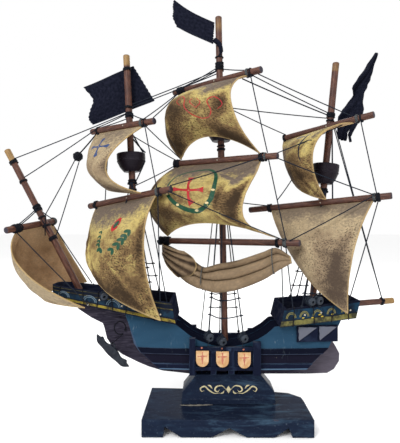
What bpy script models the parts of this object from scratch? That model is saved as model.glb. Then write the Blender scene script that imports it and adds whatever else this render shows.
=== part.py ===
"""Souvenir sailing ship on its stand: a three-masted wooden galleon model.

Every length is in millimetres until it is handed to Blender, where MM turns it into metres.
+X is aft, -Y is port, +Z is up. The hull's centre plane is Y = 0 and the stand rests on Z = 0.
"""

import math

import bmesh
import bpy
import numpy as np
from mathutils import Matrix, Vector

MM = 0.001
GAP = 0.3  # left between two pieces that touch

# Stand
BASE_TOP = 15.2
BASE_BACK = 26.0
BLOCK_CENTRE_X = 20.9
BLOCK_TOP = 43.2
BLOCK_THICKNESS = 26.0

# Hull
KEEL_THICKNESS = 9.0
KEEL_BOTTOM = 40.6
HULL_BOTTOM = 49.8
WAIST_X, WAIST_Z, WAIST_RADIUS = 19.0, 71.3, 62.2
WAIST_FORE, WAIST_AFT = -26.3, 64.5
FORECASTLE_AFT_X, FORECASTLE_FORE_X = -27.0, -144.5
AFTCASTLE_FORE_X, AFTCASTLE_AFT_X = 66.0, 141.5
TROUGH_WALL = 2.6

# Spars
MAST_RADIUS = 3.2
YARD_RADIUS = 3.0
NAIL_OFFSET = MAST_RADIUS + YARD_RADIUS + 0.4  # mast axis to yard axis
MASTS = {  # name: (heel, head)
    "fore_mast": ((-64.4, 0, 86.0), (-76.4, 0, 344.7)),
    "main_mast": ((18.3, 0, 60.0), (12.0, 0, 381.5)),
    "mizzen_mast": ((99.9, 0, 85.0), (124.8, 0, 337.5)),
}
BOWSPRIT_HEEL, BOWSPRIT_HEAD = (-120.9, 0, 119.0), (-191.0, 0, 254.0)
BOOMKIN_HEEL, BOOMKIN_HEAD = (130.0, 0, 105.4), (180.0, 0, 109.4)

# Yard: mast, height of its nail, yaw and rise towards the port end in degrees,
# reach from the nail to the starboard end and to the port end.
YARDS = {
    "fore_topsail_yard": ("fore_mast", 275.3, 32.6, 0.0, 45.5, 36.5),
    "fore_course_yard": ("fore_mast", 207.3, 29.8, 7.6, 51.5, 50.0),
    "main_topgallant_yard": ("main_mast", 317.4, 38.0, 0.0, 53.5, 50.0),
    "main_topsail_yard": ("main_mast", 242.8, 27.4, 0.0, 49.0, 58.5),
    "main_course_yard": ("main_mast", 166.0, 22.0, 0.0, 64.0, 74.5),
    "mizzen_topsail_yard": ("mizzen_mast", 274.6, 36.9, 6.7, 45.0, 43.0),
    "mizzen_course_yard": ("mizzen_mast", 202.8, 26.7, 4.6, 72.0, 61.5),
}
SPRITSAIL_YARD_SHARE = 0.493  # how far up the bowsprit it is nailed
SPRITSAIL_YARD_DIRECTION = (-0.412, -0.892, -0.150)
SPRITSAIL_YARD_REACH = 20.0, 38.5

CANVAS = 0.8
# Sail: yard, head from and to along the yard (from the nail, port positive), starboard and port clew,
# then how far the middle of the starboard leech, port leech, foot and belly stand off the straight line.
SAILS = {
    "fore_topsail": ("fore_topsail_yard", -37, 24, (-96, 8, 216), (-59, -22, 211),
                     (-13, -5, -4), (-32, -7, -8), (-2, -3, -1), (-4, -4, 0)),
    "fore_course": ("fore_course_yard", -42, 33, (-107, -14, 142), (-40, -32, 98),
                    (-5, -2, -5), (-12, -9, 8), (-9, -11, 0), (-5, -6, 0)),
    "main_topgallant_sail": ("main_topgallant_yard", -43, 37, (-24, 8, 246), (48, -27, 246),
                             (-15, -8, -2), (-18, -9, 0), (-10, -14, 16), (-12, -10, 0)),
    "main_topsail": ("main_topsail_yard", -45, 42, (-38, 13, 171), (62, -33, 171),
                     (-24, -1, 2), (-26, -9, -5), (-12, -14, 13), (-14, -1, 0)),
    "mizzen_topsail": ("mizzen_topsail_yard", -45, 25, (84, 8, 226), (108, -24, 205),
                       (-4, -2, 2), (-24, -8, 0), (-6, -6, -3), (-7, -6, 0)),
    "mizzen_course": ("mizzen_course_yard", -48, 46, (81, -3, 155), (125, -31, 104),
                      (-1, 0, -3), (-9, -7, 4), (-6, -9, -2), (-8, -7, 0)),
    "spritsail": ("spritsail_yard", -16, 27, (-122, 25, 123.5), (-109, -24.5, 107.5),
                  (-1, 2, 0), (-22, -9, 1), (-40, -4, -2), (-6, 3, 0)),
}
HEAD_DROP = YARD_RADIUS + 1.3  # yard axis to the sail's head

NESTS = {  # crow's nest: mast, floor height, height, rim radius, foot radius
    "fore_nest": ("fore_mast", 232.7, 17.6, 13.5, 7.8),
    "main_nest": ("main_mast", 262.0, 23.0, 15.0, 8.6),
    "mizzen_nest": ("mizzen_mast", 221.0, 19.0, 12.5, 7.4),
}

SHIELD_SPOTS = ((-3.2, 62.0), (14.8, 61.5), (34.4, 60.6))
MAIN_DEADEYES = ((2.7, 82.0), (14.1, 78.2), (33.3, 81.0))
ANCHOR_CENTRE = (-87.0, -12.0, 64.7)
ANCHOR_PIVOT = (-87.0, -12.0, 71.6)

model = None
cutters = None
inks = {}


# ---------------------------------------------------------------- helpers


def clear_scene():
    for old in list(bpy.data.objects):
        bpy.data.objects.remove(old, do_unlink=True)


def new_collection(name):
    made = bpy.data.collections.new(name)
    bpy.context.scene.collection.children.link(made)
    return made


def ink(name, colour, roughness):
    """The material of this name, made the first time."""
    if name not in inks:
        made = bpy.data.materials.new(name)
        made.use_nodes = True
        shader = made.node_tree.nodes["Principled BSDF"]
        shader.inputs["Base Color"].default_value = (*colour, 1)
        shader.inputs["Roughness"].default_value = roughness
        shader.inputs["Metallic"].default_value = 0.0
        inks[name] = made
    return inks[name]


def navy():
    return ink("navy_paint", (0.012, 0.018, 0.040), 0.35)


def blue():
    return ink("blue_paint", (0.035, 0.13, 0.23), 0.45)


def grey_wood():
    return ink("grey_wood", (0.10, 0.085, 0.095), 0.7)


def brown_wood():
    return ink("brown_wood", (0.10, 0.04, 0.025), 0.5)


def canvas():
    return ink("canvas", (0.42, 0.29, 0.13), 0.85)


def black_cloth():
    return ink("black_cloth", (0.012, 0.013, 0.02), 0.9)


def cream_paint():
    return ink("cream_paint", (0.75, 0.5, 0.26), 0.6)


def black_thread():
    return ink("black_thread", (0.01, 0.013, 0.02), 0.8)


def as_object(name, mesh, material, collection=None):
    mesh.materials.clear()
    if material:
        mesh.materials.append(material)
    made = bpy.data.objects.new(name, mesh)
    (collection or model).objects.link(made)
    return made


def object_of(name, form, material, collection=None):
    """A bmesh in millimetres as an object in metres."""
    bmesh.ops.scale(form, vec=(MM, MM, MM), verts=form.verts)
    bmesh.ops.recalc_face_normals(form, faces=form.faces)
    mesh = bpy.data.meshes.new(name)
    form.to_mesh(mesh)
    form.free()
    return as_object(name, mesh, material, collection)


def smooth(made, degrees=40):
    made.data.shade_smooth()
    made.data.set_sharp_from_angle(angle=math.radians(degrees))
    return made


def as_cutter(made):
    made.hide_render = True
    made.display_type = "WIRE"
    return made


def boolean(target, tool, operation):
    step = target.modifiers.new(operation.lower(), "BOOLEAN")
    step.operation = operation
    step.object = as_cutter(tool)
    step.solver = "EXACT"


def box(name, low, high, material=None, collection=None):
    form = bmesh.new()
    bmesh.ops.create_cube(form, size=1)
    size = [b - a for a, b in zip(low, high)]
    middle = [(a + b) / 2 for a, b in zip(low, high)]
    bmesh.ops.scale(form, vec=size, verts=form.verts)
    bmesh.ops.translate(form, vec=middle, verts=form.verts)
    return object_of(name, form, material, collection)


def dowel(name, start, end, radius, material=None, collection=None, sides=14, rounding=0.0):
    """A round rod between two points."""
    start, end = Vector(start), Vector(end)
    form = bmesh.new()
    turn = (end - start).to_track_quat("Z", "Y").to_matrix().to_4x4()
    place = Matrix.Translation((start + end) / 2) @ turn
    bmesh.ops.create_cone(form, cap_ends=True, segments=sides, radius1=radius, radius2=radius,
                          depth=(end - start).length, matrix=place)
    if rounding:
        rims = [e for e in form.edges if len(e.link_faces) == 2 and
                any(len(f.verts) > 4 for f in e.link_faces)]
        bmesh.ops.bevel(form, geom=rims, offset=rounding, segments=2, affect="EDGES", profile=0.5)
    return smooth(object_of(name, form, material, collection))


def plate(name, outline, thickness, middle_y, material=None, collection=None):
    """A flat outline of (X, Z) points, upright and facing port, made solid."""
    curve = bpy.data.curves.new(name, "CURVE")
    curve.dimensions = "2D"
    curve.fill_mode = "BOTH"
    curve.extrude = thickness / 2 * MM
    spline = curve.splines.new("POLY")
    spline.points.add(len(outline) - 1)
    for point, (x, z) in zip(spline.points, outline):
        point.co = (x * MM, z * MM, 0, 1)
    spline.use_cyclic_u = True
    flat = bpy.data.objects.new(name + "_outline", curve)
    flat.rotation_euler = (math.pi / 2, 0, 0)
    flat.location = (0, middle_y * MM, 0)
    model.objects.link(flat)
    bpy.context.view_layer.update()
    graph = bpy.context.evaluated_depsgraph_get()
    mesh = bpy.data.meshes.new_from_object(flat.evaluated_get(graph))
    place = flat.matrix_world.copy()
    bpy.data.objects.remove(flat)
    mesh.transform(place)
    form = bmesh.new()
    form.from_mesh(mesh)
    bmesh.ops.remove_doubles(form, verts=form.verts, dist=1e-6)
    bmesh.ops.recalc_face_normals(form, faces=form.faces)
    form.to_mesh(mesh)
    form.free()
    mesh.name = name
    return as_object(name, mesh, material, collection)


def turned(name, profile, place, material, steps=20):
    """A closed (radius, height) profile turned about the axis that place's Z gives."""
    form = bmesh.new()
    corners = [form.verts.new((r * MM, 0, z * MM)) for r, z in profile]
    for a, b in zip(corners, corners[1:] + corners[:1]):
        form.edges.new((a, b))
    mesh = bpy.data.meshes.new(name)
    form.to_mesh(mesh)
    form.free()
    made = as_object(name, mesh, material)
    made.matrix_world = place
    screw = made.modifiers.new("turn", "SCREW")
    screw.steps = screw.render_steps = steps
    screw.use_merge_vertices = True
    screw.merge_threshold = 0.00005
    return made


def placed(point, direction):
    """A matrix at a point in millimetres whose Z runs along the direction."""
    turn = Vector(direction).to_track_quat("Z", "Y").to_matrix().to_4x4()
    return Matrix.Translation(Vector(point) * MM) @ turn


def grid_solid(name, outer, inner, material):
    """A closed slab between two grids of points, joined round their four edges."""
    form = bmesh.new()
    near = [[form.verts.new(p) for p in row] for row in outer]
    far = [[form.verts.new(p) for p in row] for row in inner]
    last_row, last = len(near) - 1, len(near[0]) - 1

    def skin(grid):
        for r in range(last_row):
            for i in range(last):
                form.faces.new((grid[r][i], grid[r][i + 1], grid[r + 1][i + 1], grid[r + 1][i]))

    def strip(a, b):
        for i in range(len(a) - 1):
            form.faces.new((a[i], a[i + 1], b[i + 1], b[i]))

    skin(near)
    skin(far)
    strip(near[0], far[0])
    strip(near[last_row], far[last_row])
    strip([row[0] for row in near], [row[0] for row in far])
    strip([row[last] for row in near], [row[last] for row in far])
    bmesh.ops.remove_doubles(form, verts=form.verts, dist=0.005)
    return object_of(name, form, material)


def sheet(name, surface, thickness, material, across=9, down=9):
    """Cloth on surface(u, v), with u and v from 0 to 1."""
    form = bmesh.new()
    bmesh.ops.create_grid(form, x_segments=across, y_segments=down, size=0.5)
    for vert in form.verts:
        vert.co = surface(vert.co.x + 0.5, vert.co.y + 0.5)
    made = object_of(name, form, material)
    solid = made.modifiers.new("thickness", "SOLIDIFY")
    solid.thickness = thickness * MM
    solid.offset = 0
    return smooth(made, 60)


def mast_point(mast, height):
    """The mast's axis at this height."""
    heel, head = (Vector(p) for p in MASTS[mast])
    return heel.lerp(head, (height - heel.z) / (head.z - heel.z))


def yard_frame(name):
    """(nail point on the yard's axis, direction towards the port end, axis that the yard tilts about)."""
    if name == "spritsail_yard":
        along = Vector(SPRITSAIL_YARD_DIRECTION).normalized()
        heel, head = Vector(BOWSPRIT_HEEL), Vector(BOWSPRIT_HEAD)
        off = along.cross(head - heel).normalized()
        return heel.lerp(head, SPRITSAIL_YARD_SHARE) + off * (2 * YARD_RADIUS + 0.4), along, off
    mast, height, yaw, rise, _, _ = YARDS[name]
    yaw, rise = math.radians(yaw), math.radians(rise)
    off = Vector((-math.sin(yaw), -math.cos(yaw), 0))
    level = Vector((math.cos(yaw), -math.sin(yaw), 0))
    along = level * math.cos(rise) + Vector((0, 0, math.sin(rise)))
    return mast_point(mast, height) + off * NAIL_OFFSET, along, off


def yard_reach(name):
    return SPRITSAIL_YARD_REACH if name == "spritsail_yard" else YARDS[name][4:]


def keep_place(child, parent):
    child.parent = parent
    child.matrix_parent_inverse = parent.matrix_world.inverted()


# ---------------------------------------------------------------- stand


def base_board():
    """A board with three notches along its lower edge and a rough, slanting back edge."""
    side = [(-55.4, 0), (-36.8, 0), (-35.5, 9.0), (-21.4, 0), (5.4, 0), (20.0, 8.0), (35.0, 0),
            (58.9, 0), (70.8, 8.2), (74.1, 0), (92.8, 0), (92.8, BASE_TOP), (-55.4, BASE_TOP)]
    made = plate("base_board", side, 80, -7, navy())
    form = bmesh.new()
    plan = [(-60, -41.5), (96, -42.5), (92, 3), (81.5, 13), (69, 15.5), (40, 18), (10, 19.5),
            (-25, BASE_BACK - 2), (-60, BASE_BACK)]
    low = [form.verts.new((x, y, -5)) for x, y in plan]
    bottom = form.faces.new(low)
    top = bmesh.ops.extrude_face_region(form, geom=[bottom])["geom"]
    bmesh.ops.translate(form, vec=(0, 0, 30), verts=[v for v in top if isinstance(v, bmesh.types.BMVert)])
    boolean(made, object_of("base_plan", form, None, cutters), "INTERSECT")


def stand_block():
    """A block with sloping shoulders, a plinth along its foot and a slot for the keel."""
    middle, half = BLOCK_CENTRE_X, BLOCK_THICKNESS / 2
    foot = BASE_TOP + GAP
    outline = [(middle - 43, foot), (middle + 43, foot), (middle + 43, 26.5),
               (middle + 29.8, BLOCK_TOP), (middle - 29.8, BLOCK_TOP), (middle - 43, 26.5)]
    made = plate("stand_block", outline, BLOCK_THICKNESS, 0, navy())
    plinth = box("block_plinth", (middle - 43.6, -half - 1, foot), (middle + 43.6, half + 1, 20.5),
                 None, cutters)
    boolean(made, plinth, "UNION")
    slot = box("keel_slot", (middle - 60, -KEEL_THICKNESS / 2 - GAP, KEEL_BOTTOM - GAP),
               (middle + 60, KEEL_THICKNESS / 2 + GAP, BLOCK_TOP + 5), None, cutters)
    boolean(made, slot, "DIFFERENCE")


# ---------------------------------------------------------------- hull


def sheer(x):
    """Height of the deck: a round waist between the two castles."""
    if x < WAIST_FORE:
        return forecastle_bottom(x) - GAP
    if x > WAIST_AFT:
        return aftcastle_bottom(x) - GAP
    arc = WAIST_Z + WAIST_RADIUS - math.sqrt(WAIST_RADIUS**2 - (x - WAIST_X) ** 2)
    return min(arc, forecastle_bottom(WAIST_FORE) - GAP, aftcastle_bottom(WAIST_AFT) - GAP)


def forecastle_bottom(x):
    return 92.6 + (FORECASTLE_AFT_X - x) * 0.187


def forecastle_top(x):
    return 112.2 + (FORECASTLE_AFT_X - x) * 0.119


def aftcastle_bottom(x):
    return 90.2 + (x - AFTCASTLE_FORE_X) * 0.092


def aftcastle_top(x):
    return 106.8 + (x - AFTCASTLE_FORE_X) * 0.085


def half_beam(x):
    return float(np.interp(x, (-75, -45, -10, 60, 100, 126), (13.2, 17.6, 20, 20, 18.6, 16.6)))


def fore_edge(z):
    """Fore end of a hull side at this height."""
    return float(np.interp(z, (49.8, 54.7, 58.6, 67.7, 74.2, 101.3), (-42, -48.6, -55.8, -62.2, -66.4, -76.5)))


def aft_edge(z):
    """After end of a hull side at this height."""
    return float(np.interp(z, (48.8, 68.5, 80.0, 95.3), (91.0, 111.4, 123.6, 124.5)))


def deck_line(x_from, x_to, steps):
    return [(x, sheer(x)) for x in np.linspace(x_from, x_to, steps)]


def keel_board():
    """The centre plank: stem, keel, stern post with its rounded rudder, and the deck's middle."""
    stem = [(-121, 102), (-109, 94), (-98, 88.5), (-96.6, 84.5), (-94, 74), (-89, 66.5),
            (-79.5, 59), (-64, 51.5), (-54, 47.3), (-41, 43.5), (-14, KEEL_BOTTOM)]
    rudder = [(98, KEEL_BOTTOM), (115, 41.3), (121.5, 45), (126.4, 52.7), (126.7, 60), (122.6, 67.7)]
    stern = [(118.5, 74), (123, 80), (124, aftcastle_bottom(124) - GAP)]
    deck = deck_line(120, -24, 26)
    fore = [(-60, forecastle_bottom(-60) - GAP), (-127, forecastle_bottom(-127) - GAP)]
    made = plate("keel_board", stem + rudder + stern + deck + fore, KEEL_THICKNESS, 0, grey_wood())
    for mast, (heel, head) in MASTS.items():
        foot, top = Vector(heel), Vector(head)
        up = (top - foot).normalized()
        step = dowel(mast + "_step", foot - up * GAP, foot + up * 45, MAST_RADIUS + GAP, None, cutters)
        boolean(made, step, "DIFFERENCE")


def hull_side(name, side):
    """One side of the hull: a slab with a wale, sunk planking and a lower strake."""
    stations = np.linspace(0, 1, 27)
    relief = [(HULL_BOTTOM, 0), (55.0, 0), (55.0, 1.3), (63.8, 1.3), (63.8, -0.6), (69.4, -0.6), (69.4, 0)]
    outer, inner = [], []
    for z, sunk in relief:
        x_row = [fore_edge(z) + (aft_edge(z) - fore_edge(z)) * s for s in stations]
        outer.append([(x, side * (half_beam(x) - sunk), z) for x in x_row])
        inner.append([(x - 5 * (1 - s) ** 6, side * (KEEL_THICKNESS / 2 + GAP), z)
                      for x, s in zip(x_row, stations)])
    top_from, top_to = fore_edge(100), aft_edge(95)
    x_row = [top_from + (top_to - top_from) * s for s in stations]
    outer.append([(x, side * half_beam(x), sheer(x)) for x in x_row])
    inner.append([(x - 1 * (1 - s) ** 6, side * (KEEL_THICKNESS / 2 + GAP), sheer(x))
                  for x, s in zip(x_row, stations)])
    grid_solid(name, outer, inner, blue())


def trough(name, stations, material):
    """An open tray through sections of (x, half width, bottom, top)."""
    form = bmesh.new()
    rows = []
    for x, top_x, half, low, high in stations:
        rows.append([form.verts.new(p) for p in
                     ((top_x, -half, high), (x, -half + 0.6, low), (x, half - 0.6, low), (top_x, half, high))])
    for a, b in zip(rows, rows[1:]):
        for i in range(3):
            form.faces.new((a[i], a[i + 1], b[i + 1], b[i]))
    form.faces.new(rows[0])
    form.faces.new(rows[-1])
    made = object_of(name, form, material)
    solid = made.modifiers.new("walls", "SOLIDIFY")
    solid.thickness = TROUGH_WALL * MM
    solid.offset = -1
    solid.use_even_offset = True
    return made


def forecastle():
    """Open tray that narrows towards a rounded bow end."""
    stations = []
    for x, half in ((-27, 27), (-60, 24), (-95, 20.3), (-120, 17.5), (-134, 15.6), (-141, 12.6), (-144.5, 7.5)):
        lean = 4.0 * (x + 144.5) / 117.5
        stations.append((x, x - lean, half, forecastle_bottom(x), forecastle_top(x - lean)))
    made = trough("forecastle", stations, blue())
    hole = dowel("fore_mast_hole", mast_point("fore_mast", 90), mast_point("fore_mast", 116),
                 MAST_RADIUS + GAP, None, cutters)
    boolean(made, hole, "DIFFERENCE")


def aftcastle():
    """Open tray that narrows towards a square transom."""
    stations = []
    for x, half in ((66, 28), (90, 26), (115, 23.2), (137, 20.2)):
        lean = 4.3 if x < 137 else 3.6
        stations.append((x, x + lean, half, aftcastle_bottom(x), aftcastle_top(x + lean)))
    made = trough("aftcastle", stations, blue())
    hole = dowel("mizzen_mast_hole", mast_point("mizzen_mast", 88), mast_point("mizzen_mast", 108),
                 MAST_RADIUS + GAP, None, cutters)
    boolean(made, hole, "DIFFERENCE")
    socket = dowel("boomkin_hole", BOOMKIN_HEEL, BOOMKIN_HEAD, 2.85 + GAP, None, cutters)
    boolean(made, socket, "DIFFERENCE")


def channel(name, side):
    """Midship panel: a backing board with two posts and two ribs that run down past it."""
    face = 20.6 + GAP

    def piece(title, x0, x1, z0, z1, start, depth, collection, material=None):
        low, high = sorted((side * (face + start), side * (face + depth)))
        return box(title, (x0, low, z0), (x1, high, z1), material, collection)

    made = piece(name, -12.5, 47, 51.5, 71.5, 0, 2.0, model, navy())
    extras = [("post_fore", -15.0, -9.6, 46.8, 80.0, 0.2, 4.6), ("post_aft", 42.4, 49.4, 46.8, 76.5, 0.2, 4.5),
              ("rib_fore", 4.2, 9.2, 47.2, 71.0, 0.3, 3.0), ("rib_aft", 20.2, 25.6, 47.4, 70.8, 0.3, 3.0),
              ("rail_top", -12.0, 46.6, 68.6, 71.9, 0.4, 3.6), ("rail_low", -12.2, 46.8, 51.1, 54.2, 0.5, 3.7)]
    for title, x0, x1, z0, z1, start, depth in extras:
        boolean(made, piece(f"{name}_{title}", x0, x1, z0, z1, start, depth, cutters), "UNION")


def gunports(name, side):
    """A thin backing with two blocks, each with two facets that meet on a rising diagonal."""

    def block(title, x0, x1, z0, z1, start, low_proud, high_proud, material, collection):
        form = bmesh.new()
        bmesh.ops.create_cube(form, size=1)
        for vert in form.verts:
            aft, up, out = vert.co.x > 0, vert.co.z > 0, vert.co.y * side > 0
            x, proud = (x1 if aft else x0), (high_proud if aft == up else low_proud)
            vert.co = (x, side * (half_beam(x) + 2 * GAP + (proud if out else start)), z1 if up else z0)
        return object_of(title, form, material, collection)

    made = block(name, 82.4, 120.6, 75.4, 90.6, 0.1, 1.0, 1.0, navy(), model)
    boolean(made, block(name + "_fore", 83.4, 101.4, 76.2, 89.6, 0.6, 1.6, 3.4, None, cutters), "UNION")
    boolean(made, block(name + "_aft", 102.4, 119.8, 76.6, 90.0, 0.6, 1.6, 3.4, None, cutters), "UNION")


# ---------------------------------------------------------------- spars


def masts():
    for name, (heel, head) in MASTS.items():
        dowel(name, heel, head, MAST_RADIUS, brown_wood(), rounding=0.8)
    dowel("bowsprit", BOWSPRIT_HEEL, BOWSPRIT_HEAD, 3.0, brown_wood(), rounding=0.8)
    dowel("boomkin", BOOMKIN_HEEL, BOOMKIN_HEAD, 2.85, brown_wood(), rounding=0.8)


def nests():
    """Turned bowls threaded on the masts, with a straight band over a tapered foot."""
    for name, (mast, floor, height, rim, foot) in NESTS.items():
        base = mast_point(mast, floor)
        up = mast_point(mast, floor + 10) - base
        wall = 1.8
        bore = MAST_RADIUS + GAP
        profile = [(rim, height), (rim, height * 0.55), (foot, 0), (bore, 0), (bore, 2.4),
                   (foot - 0.6, 2.4), (rim - wall, height * 0.58), (rim - wall, height)]
        turned(name, profile, placed(base, up), navy())


def yards_and_sails():
    """Each yard hangs on one nail, so it has an empty there, and its sail rides with it."""
    for name in [*YARDS, "spritsail_yard"]:
        nail, along, _ = yard_frame(name)
        far, near = yard_reach(name)
        pivot = bpy.data.objects.new(name + "_nail", None)
        pivot.location = nail * MM
        model.objects.link(pivot)
        bpy.context.view_layer.update()
        yard = dowel(name, nail - along * far, nail + along * near, YARD_RADIUS, brown_wood(), rounding=0.8)
        keep_place(yard, pivot)
        for sail_name, spec in SAILS.items():
            if spec[0] == name:
                keep_place(sail(sail_name, *spec), pivot)
        if name == "main_course_yard":
            keep_place(furled_course(nail, along), pivot)


def sail(name, yard, head_far, head_near, clew_far, clew_near, far_out, near_out, foot_out, belly):
    """A square sail: four corners, four edges that stand off their straight lines, and a belly."""
    nail, along, _ = yard_frame(yard)
    drop = Vector((0, 0, -HEAD_DROP))
    tops = [nail + along * head_far + drop, nail + along * head_near + drop]
    clews = [Vector(clew_far), Vector(clew_near)]
    far_out, near_out, foot_out, belly = (Vector(v) for v in (far_out, near_out, foot_out, belly))

    def surface(u, v):
        flat = tops[0].lerp(tops[1], u).lerp(clews[0].lerp(clews[1], u), v)
        side_bow, foot_bow = 4 * v * (1 - v), 4 * u * (1 - u)
        return (flat + far_out.lerp(near_out, u) * side_bow + foot_out * (foot_bow * v)
                + belly * (side_bow * foot_bow))

    return sheet(name, surface, CANVAS, canvas())


def furled_course(nail, along):
    """The main course, taken in: a hammock of canvas slung under its yard."""
    left, right = nail - along * 60, nail + along * 68

    def surface(u, v):
        swell = math.sin(math.pi * u)
        top = left.lerp(right, u) + Vector((0, 0, -HEAD_DROP - 13 * swell**0.8 - 3 * u))
        deep = 9 + 12 * swell + 5 * (1 - u)
        return top + Vector((-3 * swell, -21 * swell - 8 * swell * math.sin(math.pi * v), -deep * v))

    return sheet("furled_main_course", surface, 1.6, canvas(), 15, 5)


# ---------------------------------------------------------------- small pieces


def flags():
    """Cloth streamers tied to the mastheads."""
    outlines = {
        "fore_flag": (6.0, [(-71, 337), (-119.6, 316), (-110, 304.3), (-114, 285), (-110.5, 279.5),
                            (-92.4, 288.5), (-80.7, 293), (-50, 303)]),
        "main_flag": (-1.0, [(-30.7, 397.8), (-25, 391), (8.0, 376), (6.9, 355.5), (-4.8, 360.6),
                             (-15.4, 365.1), (-27.8, 371.9), (-31.7, 381)]),
        "mizzen_flag": (5.0, [(165.4, 349.5), (161.5, 330.5), (154.6, 311), (155.5, 289), (150.6, 277.5),
                              (135.5, 266), (129.4, 265), (130.5, 287), (139, 301), (143, 312),
                              (153, 328), (158, 346)]),
    }
    for name, (middle_y, outline) in outlines.items():
        plate(name, outline, 0.8, middle_y, black_cloth())


def shield_outline(x, z, width=11.4, height=14.4):
    """A flat top and a round foot."""
    half, top = width / 2, z + height / 2
    shoulder = z - height / 2 + half
    arc = [(x + half * math.cos(a), shoulder + half * math.sin(a))
           for a in np.linspace(0, -math.pi, 9)]
    return [(x - half, top), (x + half, top), *arc]


def shields():
    for title, side in (("port", -1), ("starboard", 1)):
        for number, (x, z) in enumerate(SHIELD_SPOTS, 1):
            plate(f"shield_{title}_{number}", shield_outline(x, z), 1.2, side * 25.7, cream_paint())


def bead(name, point, direction, radius, length, bore=1.3):
    """A short tube with a rounded rim."""
    half, round_off = length / 2, 0.9
    profile = [(radius, half - round_off), (radius, -half + round_off), (radius - round_off, -half),
               (bore, -half), (bore, half), (radius - round_off, half)]
    return turned(name, profile, placed(point, direction), black_thread(), steps=12)


def deadeyes():
    """Beads that take the shrouds' ends, on the port side only: to starboard the threads go straight to the rail."""
    for number, (x, z) in enumerate(MAIN_DEADEYES, 1):
        bead(f"main_deadeye_{number}", (x, -25.6, z), (0.45, -0.9, -0.2), 3.6, 8)
    for number, x in enumerate((93.5, 101.6), 1):
        half = 28 - (x - AFTCASTLE_FORE_X) * 0.109
        bead(f"mizzen_deadeye_{number}", (x, -half, aftcastle_top(x) + 4.6), (0.5, -1, -0.1), 3.7, 9)
    bead("fore_deadeye", (-91, -25.6, 118.8), (0.2, -1, -0.2), 3.3, 7.5)


def main_shrouds(name, side):
    """Three legs from the deadeyes, or the rail, up to the mast under its nest, crossed by two ratlines."""
    top = mast_point("main_mast", 231)
    feet = [Vector((x, side * 25.0, z + 4.6 if side < 0 else 73.0)) for x, z in MAIN_DEADEYES]
    heads = [top + Vector((shift, side * (MAST_RADIUS + 2.2), 0)) for shift in (-0.6, 0, 0.6)]
    made = dowel(name, feet[0], heads[0], 0.5, black_thread(), sides=6)
    for foot, head in zip(feet[1:], heads[1:]):
        boolean(made, dowel(name + "_leg", foot, head, 0.5, None, cutters, sides=6), "UNION")
    for share in (0.08, 0.15):
        ends = [foot.lerp(head, share) for foot, head in zip(feet, heads)]
        run = (ends[2] - ends[0]).normalized() * 1.5
        boolean(made, dowel(name + "_ratline", ends[0] - run, ends[2] + run, 0.45, None, cutters, sides=6), "UNION")
        boolean(made, dowel(name + "_ratline", ends[1] - run, ends[1] + run, 0.45, None, cutters, sides=6), "UNION")


def anchor():
    """A flat curved bar with pointed flukes and a ring, free to swing on its thread."""
    blade = [(-21.3, 0.6), (-15.5, -4.6), (-9, -4.4), (0, -5.2), (9, -4.4), (15.5, -4.6), (21.3, 0.6),
             (16.5, 2.6), (11, 1.6), (3.5, 3.4), (-3.5, 3.4), (-11, 1.6), (-16.5, 2.6)]
    slope = math.radians(-45)
    x0, y0, z0 = ANCHOR_CENTRE
    outline = [(x0 + s * math.cos(slope) - w * math.sin(slope), z0 + s * math.sin(slope) + w * math.cos(slope))
               for s, w in blade]
    pivot = bpy.data.objects.new("anchor_thread_end", None)
    pivot.location = Vector(ANCHOR_PIVOT) * MM
    model.objects.link(pivot)
    bpy.context.view_layer.update()
    made = plate("anchor", outline, 2.6, y0, navy())
    form = bmesh.new()
    rings, sides, major, minor = 12, 6, 2.2, 0.7
    bands = []
    for i in range(rings):
        a = math.tau * i / rings
        bands.append([form.verts.new((x0 + (major + minor * math.cos(b)) * math.cos(a), y0 + minor * math.sin(b),
                                      ANCHOR_PIVOT[2] - major + (major + minor * math.cos(b)) * math.sin(a)))
                      for b in (math.tau * j / sides for j in range(sides))])
    for i in range(rings):
        here, there = bands[i], bands[(i + 1) % rings]
        for j in range(sides):
            k = (j + 1) % sides
            form.faces.new((here[j], here[k], there[k], there[j]))
    boolean(made, object_of("anchor_ring", form, None, cutters), "UNION")
    keep_place(made, pivot)


def main():
    global model, cutters
    clear_scene()
    model = new_collection("model_ship")
    cutters = new_collection("cutters")
    base_board()
    stand_block()
    keel_board()
    for title, side in (("port", -1), ("starboard", 1)):
        hull_side(f"hull_{title}", side)
        channel(f"channel_{title}", side)
        gunports(f"gunports_{title}", side)
    forecastle()
    aftcastle()
    masts()
    nests()
    yards_and_sails()
    flags()
    shields()
    deadeyes()
    for title, side in (("port", -1), ("starboard", 1)):
        main_shrouds(f"main_shrouds_{title}", side)
    anchor()


main()
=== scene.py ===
"""Looks of the souvenir sailing ship: painted wood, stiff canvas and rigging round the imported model.

Lengths are in millimetres until MM turns them into metres, in the model's own frame:
+X is aft, -Y is port, +Z is up, and the stand rests on Z = 0.
"""

import math
import random

import bmesh
import bpy
import numpy as np
from mathutils import Matrix, Vector, noise


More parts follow.
